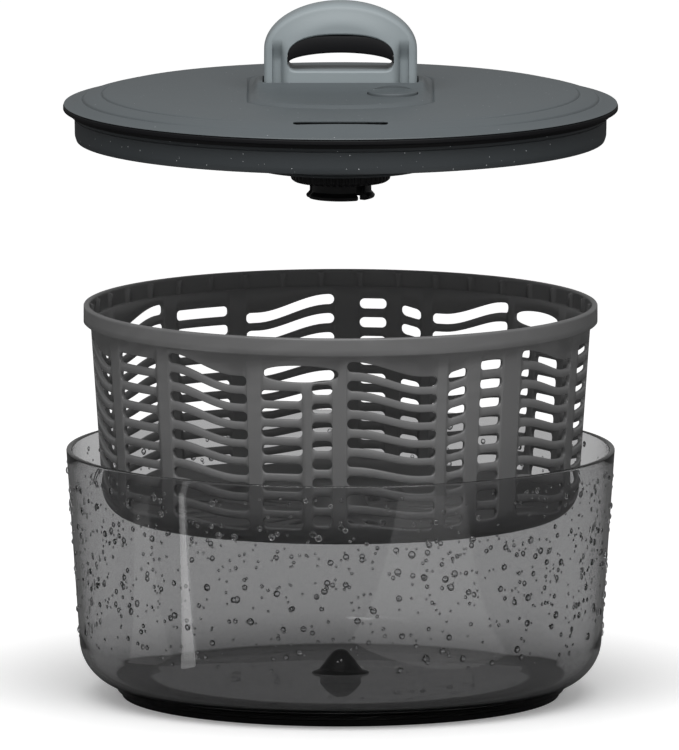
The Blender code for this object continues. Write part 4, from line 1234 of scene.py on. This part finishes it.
coil_spring("return_spring_left", 5, 0.5)
coil_spring("return_spring_right", 5, 0.5)
coil_spring("brake_spring", 6, 0.45)

# %% [markdown]
# ## Finishes on the pieces that stay as they are
# The drive disc, the screws, the posts, the nut and the chassis are hidden inside the lid or small, and
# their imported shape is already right. They only need their finish, which goes into each one's slots.

# %% Finish the carried-over pieces
finishes = {
    "drive_disc": lid_plastic,
    "mechanism_chassis": black_plastic,
    "handle_carriage": black_plastic,
    "nut_retainer": black_plastic,
    "brake_pad": seal_rubber,
    "pivot_cap": bearing_plastic,
    "drive_nut": bearing_plastic,
    "thrust_washer": bearing_plastic,
}
for name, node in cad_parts.items():
    material = finishes.get(name, steel)
    node.data.materials.clear()
    node.data.materials.append(material)
print("finished", len(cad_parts), "packed pieces")

# %% [markdown]
# ## Floor, light and camera
# A pale floor and a white surround give the even look of a studio. The floor glows with painted light
# that is weaker near the bowl's base, which paints a soft shadow there, and it is painted darker for
# bounce light and in mirrors. One large soft light above and in front shapes the lid. The bowl's wall
# leans out, so what it mirrors is the floor: flat cards that lie there facing up draw the bright bands
# down the wall. The camera looks down by 8 degrees, far off with a long lens, so that the rims stay even
# ellipses.

# %% Studio
VIEW_RISE = np.radians(8.0)
DISTANCE = 14.0
AMBIENT = 0.30
SEEN_HEIGHT = 0.3552
SENSOR = 36.0


def make_floor():
    """A flat disc far wider than the view, made as rings round the middle."""
    radii = np.array([0.0, 0.3, 0.8, 2.0, 6.0, 14.0])
    steps = 96
    a = np.arange(steps) * 2 * np.pi / steps
    reach = radii[:, None]
    points = np.stack([reach * np.cos(a), reach * np.sin(a), 0 * reach * a], axis=-1)
    floor_material, tree, shader = new_finish("studio floor")
    away = add(tree, "VectorMath", {0: place_on_piece(tree)}, operation="LENGTH").outputs["Value"]
    # Painted light: the floor glows, weakly near the bowl's base and strongly far off, which paints a soft
    # shadow round the base.
    rise = remap(tree, away, (0.09, 0.3), (0.22, 0.75), interpolation_type="SMOOTHSTEP")
    rays = add(tree, "LightPath").outputs
    # Painted light: the camera sees the whole glow, rays through clear walls see 0.7 of it, and mirrors see
    # it dimmer.
    through = calc(tree, "MULTIPLY", rays["Is Transmission Ray"], 0.7)
    direct = calc(tree, "MAXIMUM", through, rays["Is Camera Ray"])
    dimmed_in_mirrors = remap(tree, rays["Glossy Depth"], (0.0, 1.0), (1.0, 0.2))
    # Painted shade: the floor's colour is 0.9 for the camera and a darker 0.45 for every other ray, and
    # dimmer in mirrors.
    shade = remap(tree, rays["Is Camera Ray"], (0.0, 1.0), (0.45, 0.9))
    finish = {
        "Base Color": calc(tree, "MULTIPLY", shade, dimmed_in_mirrors),
        "Roughness": 0.6,
        "Emission Color": calc(tree, "MULTIPLY", rise, calc(tree, "MULTIPLY", direct, dimmed_in_mirrors)),
        "Emission Strength": 1.0,
    }
    fill(tree, shader, finish)
    quads = grid_quads(len(radii), steps, close_columns=True)
    floor = surface("studio_floor", points.reshape(-1, 3) / MM, quads, floor_material, None)
    return floor


def soft_light(name, place, aim, size, power):
    """A rectangular light at a place, turned to face a point."""
    lamp = bpy.data.lights.new(name, "AREA")
    lamp.shape = "RECTANGLE"
    lamp.size, lamp.size_y = size
    lamp.energy = power
    made = bpy.data.objects.new(name, lamp)
    bpy.context.scene.collection.objects.link(made)
    made.location = place
    made.visible_camera = False
    turn_to(made, place, aim)
    return made


def floor_card(name, place, heading, size, power):
    """A flat light lying on the floor and facing up: turned over about x, then by the heading about z."""
    made = soft_light(name, place, (0.0, 0.0, 1.0), size, power)
    made.rotation_euler = (np.pi, 0.0, np.radians(heading))
    return made


def turn_to(thing, place, aim):
    thing.rotation_euler = (Vector(aim) - Vector(place)).to_track_quat("-Z", "Y").to_euler()


make_floor()
middle = (-0.0005, 0.0, 0.1527)
soft_light("light_above", (0.0, -0.55, 0.85), (0.0, -0.05, 0.2), (1.0, 0.5), 7.5)
floor_card("card_left", (-0.324, -0.185, 0.002), 198.5, (0.33, 0.022), 0.07)
floor_card("card_far_left", (-0.356, -0.062, 0.002), 175.0, (0.33, 0.075), 0.035)
floor_card("card_right", (0.213, -0.32, 0.002), -50.0, (0.33, 0.24), 0.15)
world = bpy.data.worlds.new("studio surround")
world.use_nodes = True
surround = world.node_tree
seen = add(surround, "LightPath").outputs["Is Camera Ray"]
strength = calc(surround, "MULTIPLY_ADD", seen, 1.0 - AMBIENT, AMBIENT)
fill(surround, surround.nodes["Background"], {"Strength": strength, "Color": (1.0, 1.0, 1.0, 1.0)})
bpy.context.scene.world = world
bpy.context.scene.view_settings.view_transform = "Standard"

# %% Camera
lens = bpy.data.cameras.new("studio_camera")
lens.sensor_width = SENSOR
lens.lens = SENSOR * DISTANCE / SEEN_HEIGHT
lens.clip_end = 60.0
camera = bpy.data.objects.new("studio_camera", lens)
bpy.context.scene.collection.objects.link(camera)
camera.location = (
    middle[0],
    middle[1] - DISTANCE * np.cos(VIEW_RISE),
    middle[2] + DISTANCE * np.sin(VIEW_RISE),
)
turn_to(camera, tuple(camera.location), middle)
bpy.context.scene.camera = camera
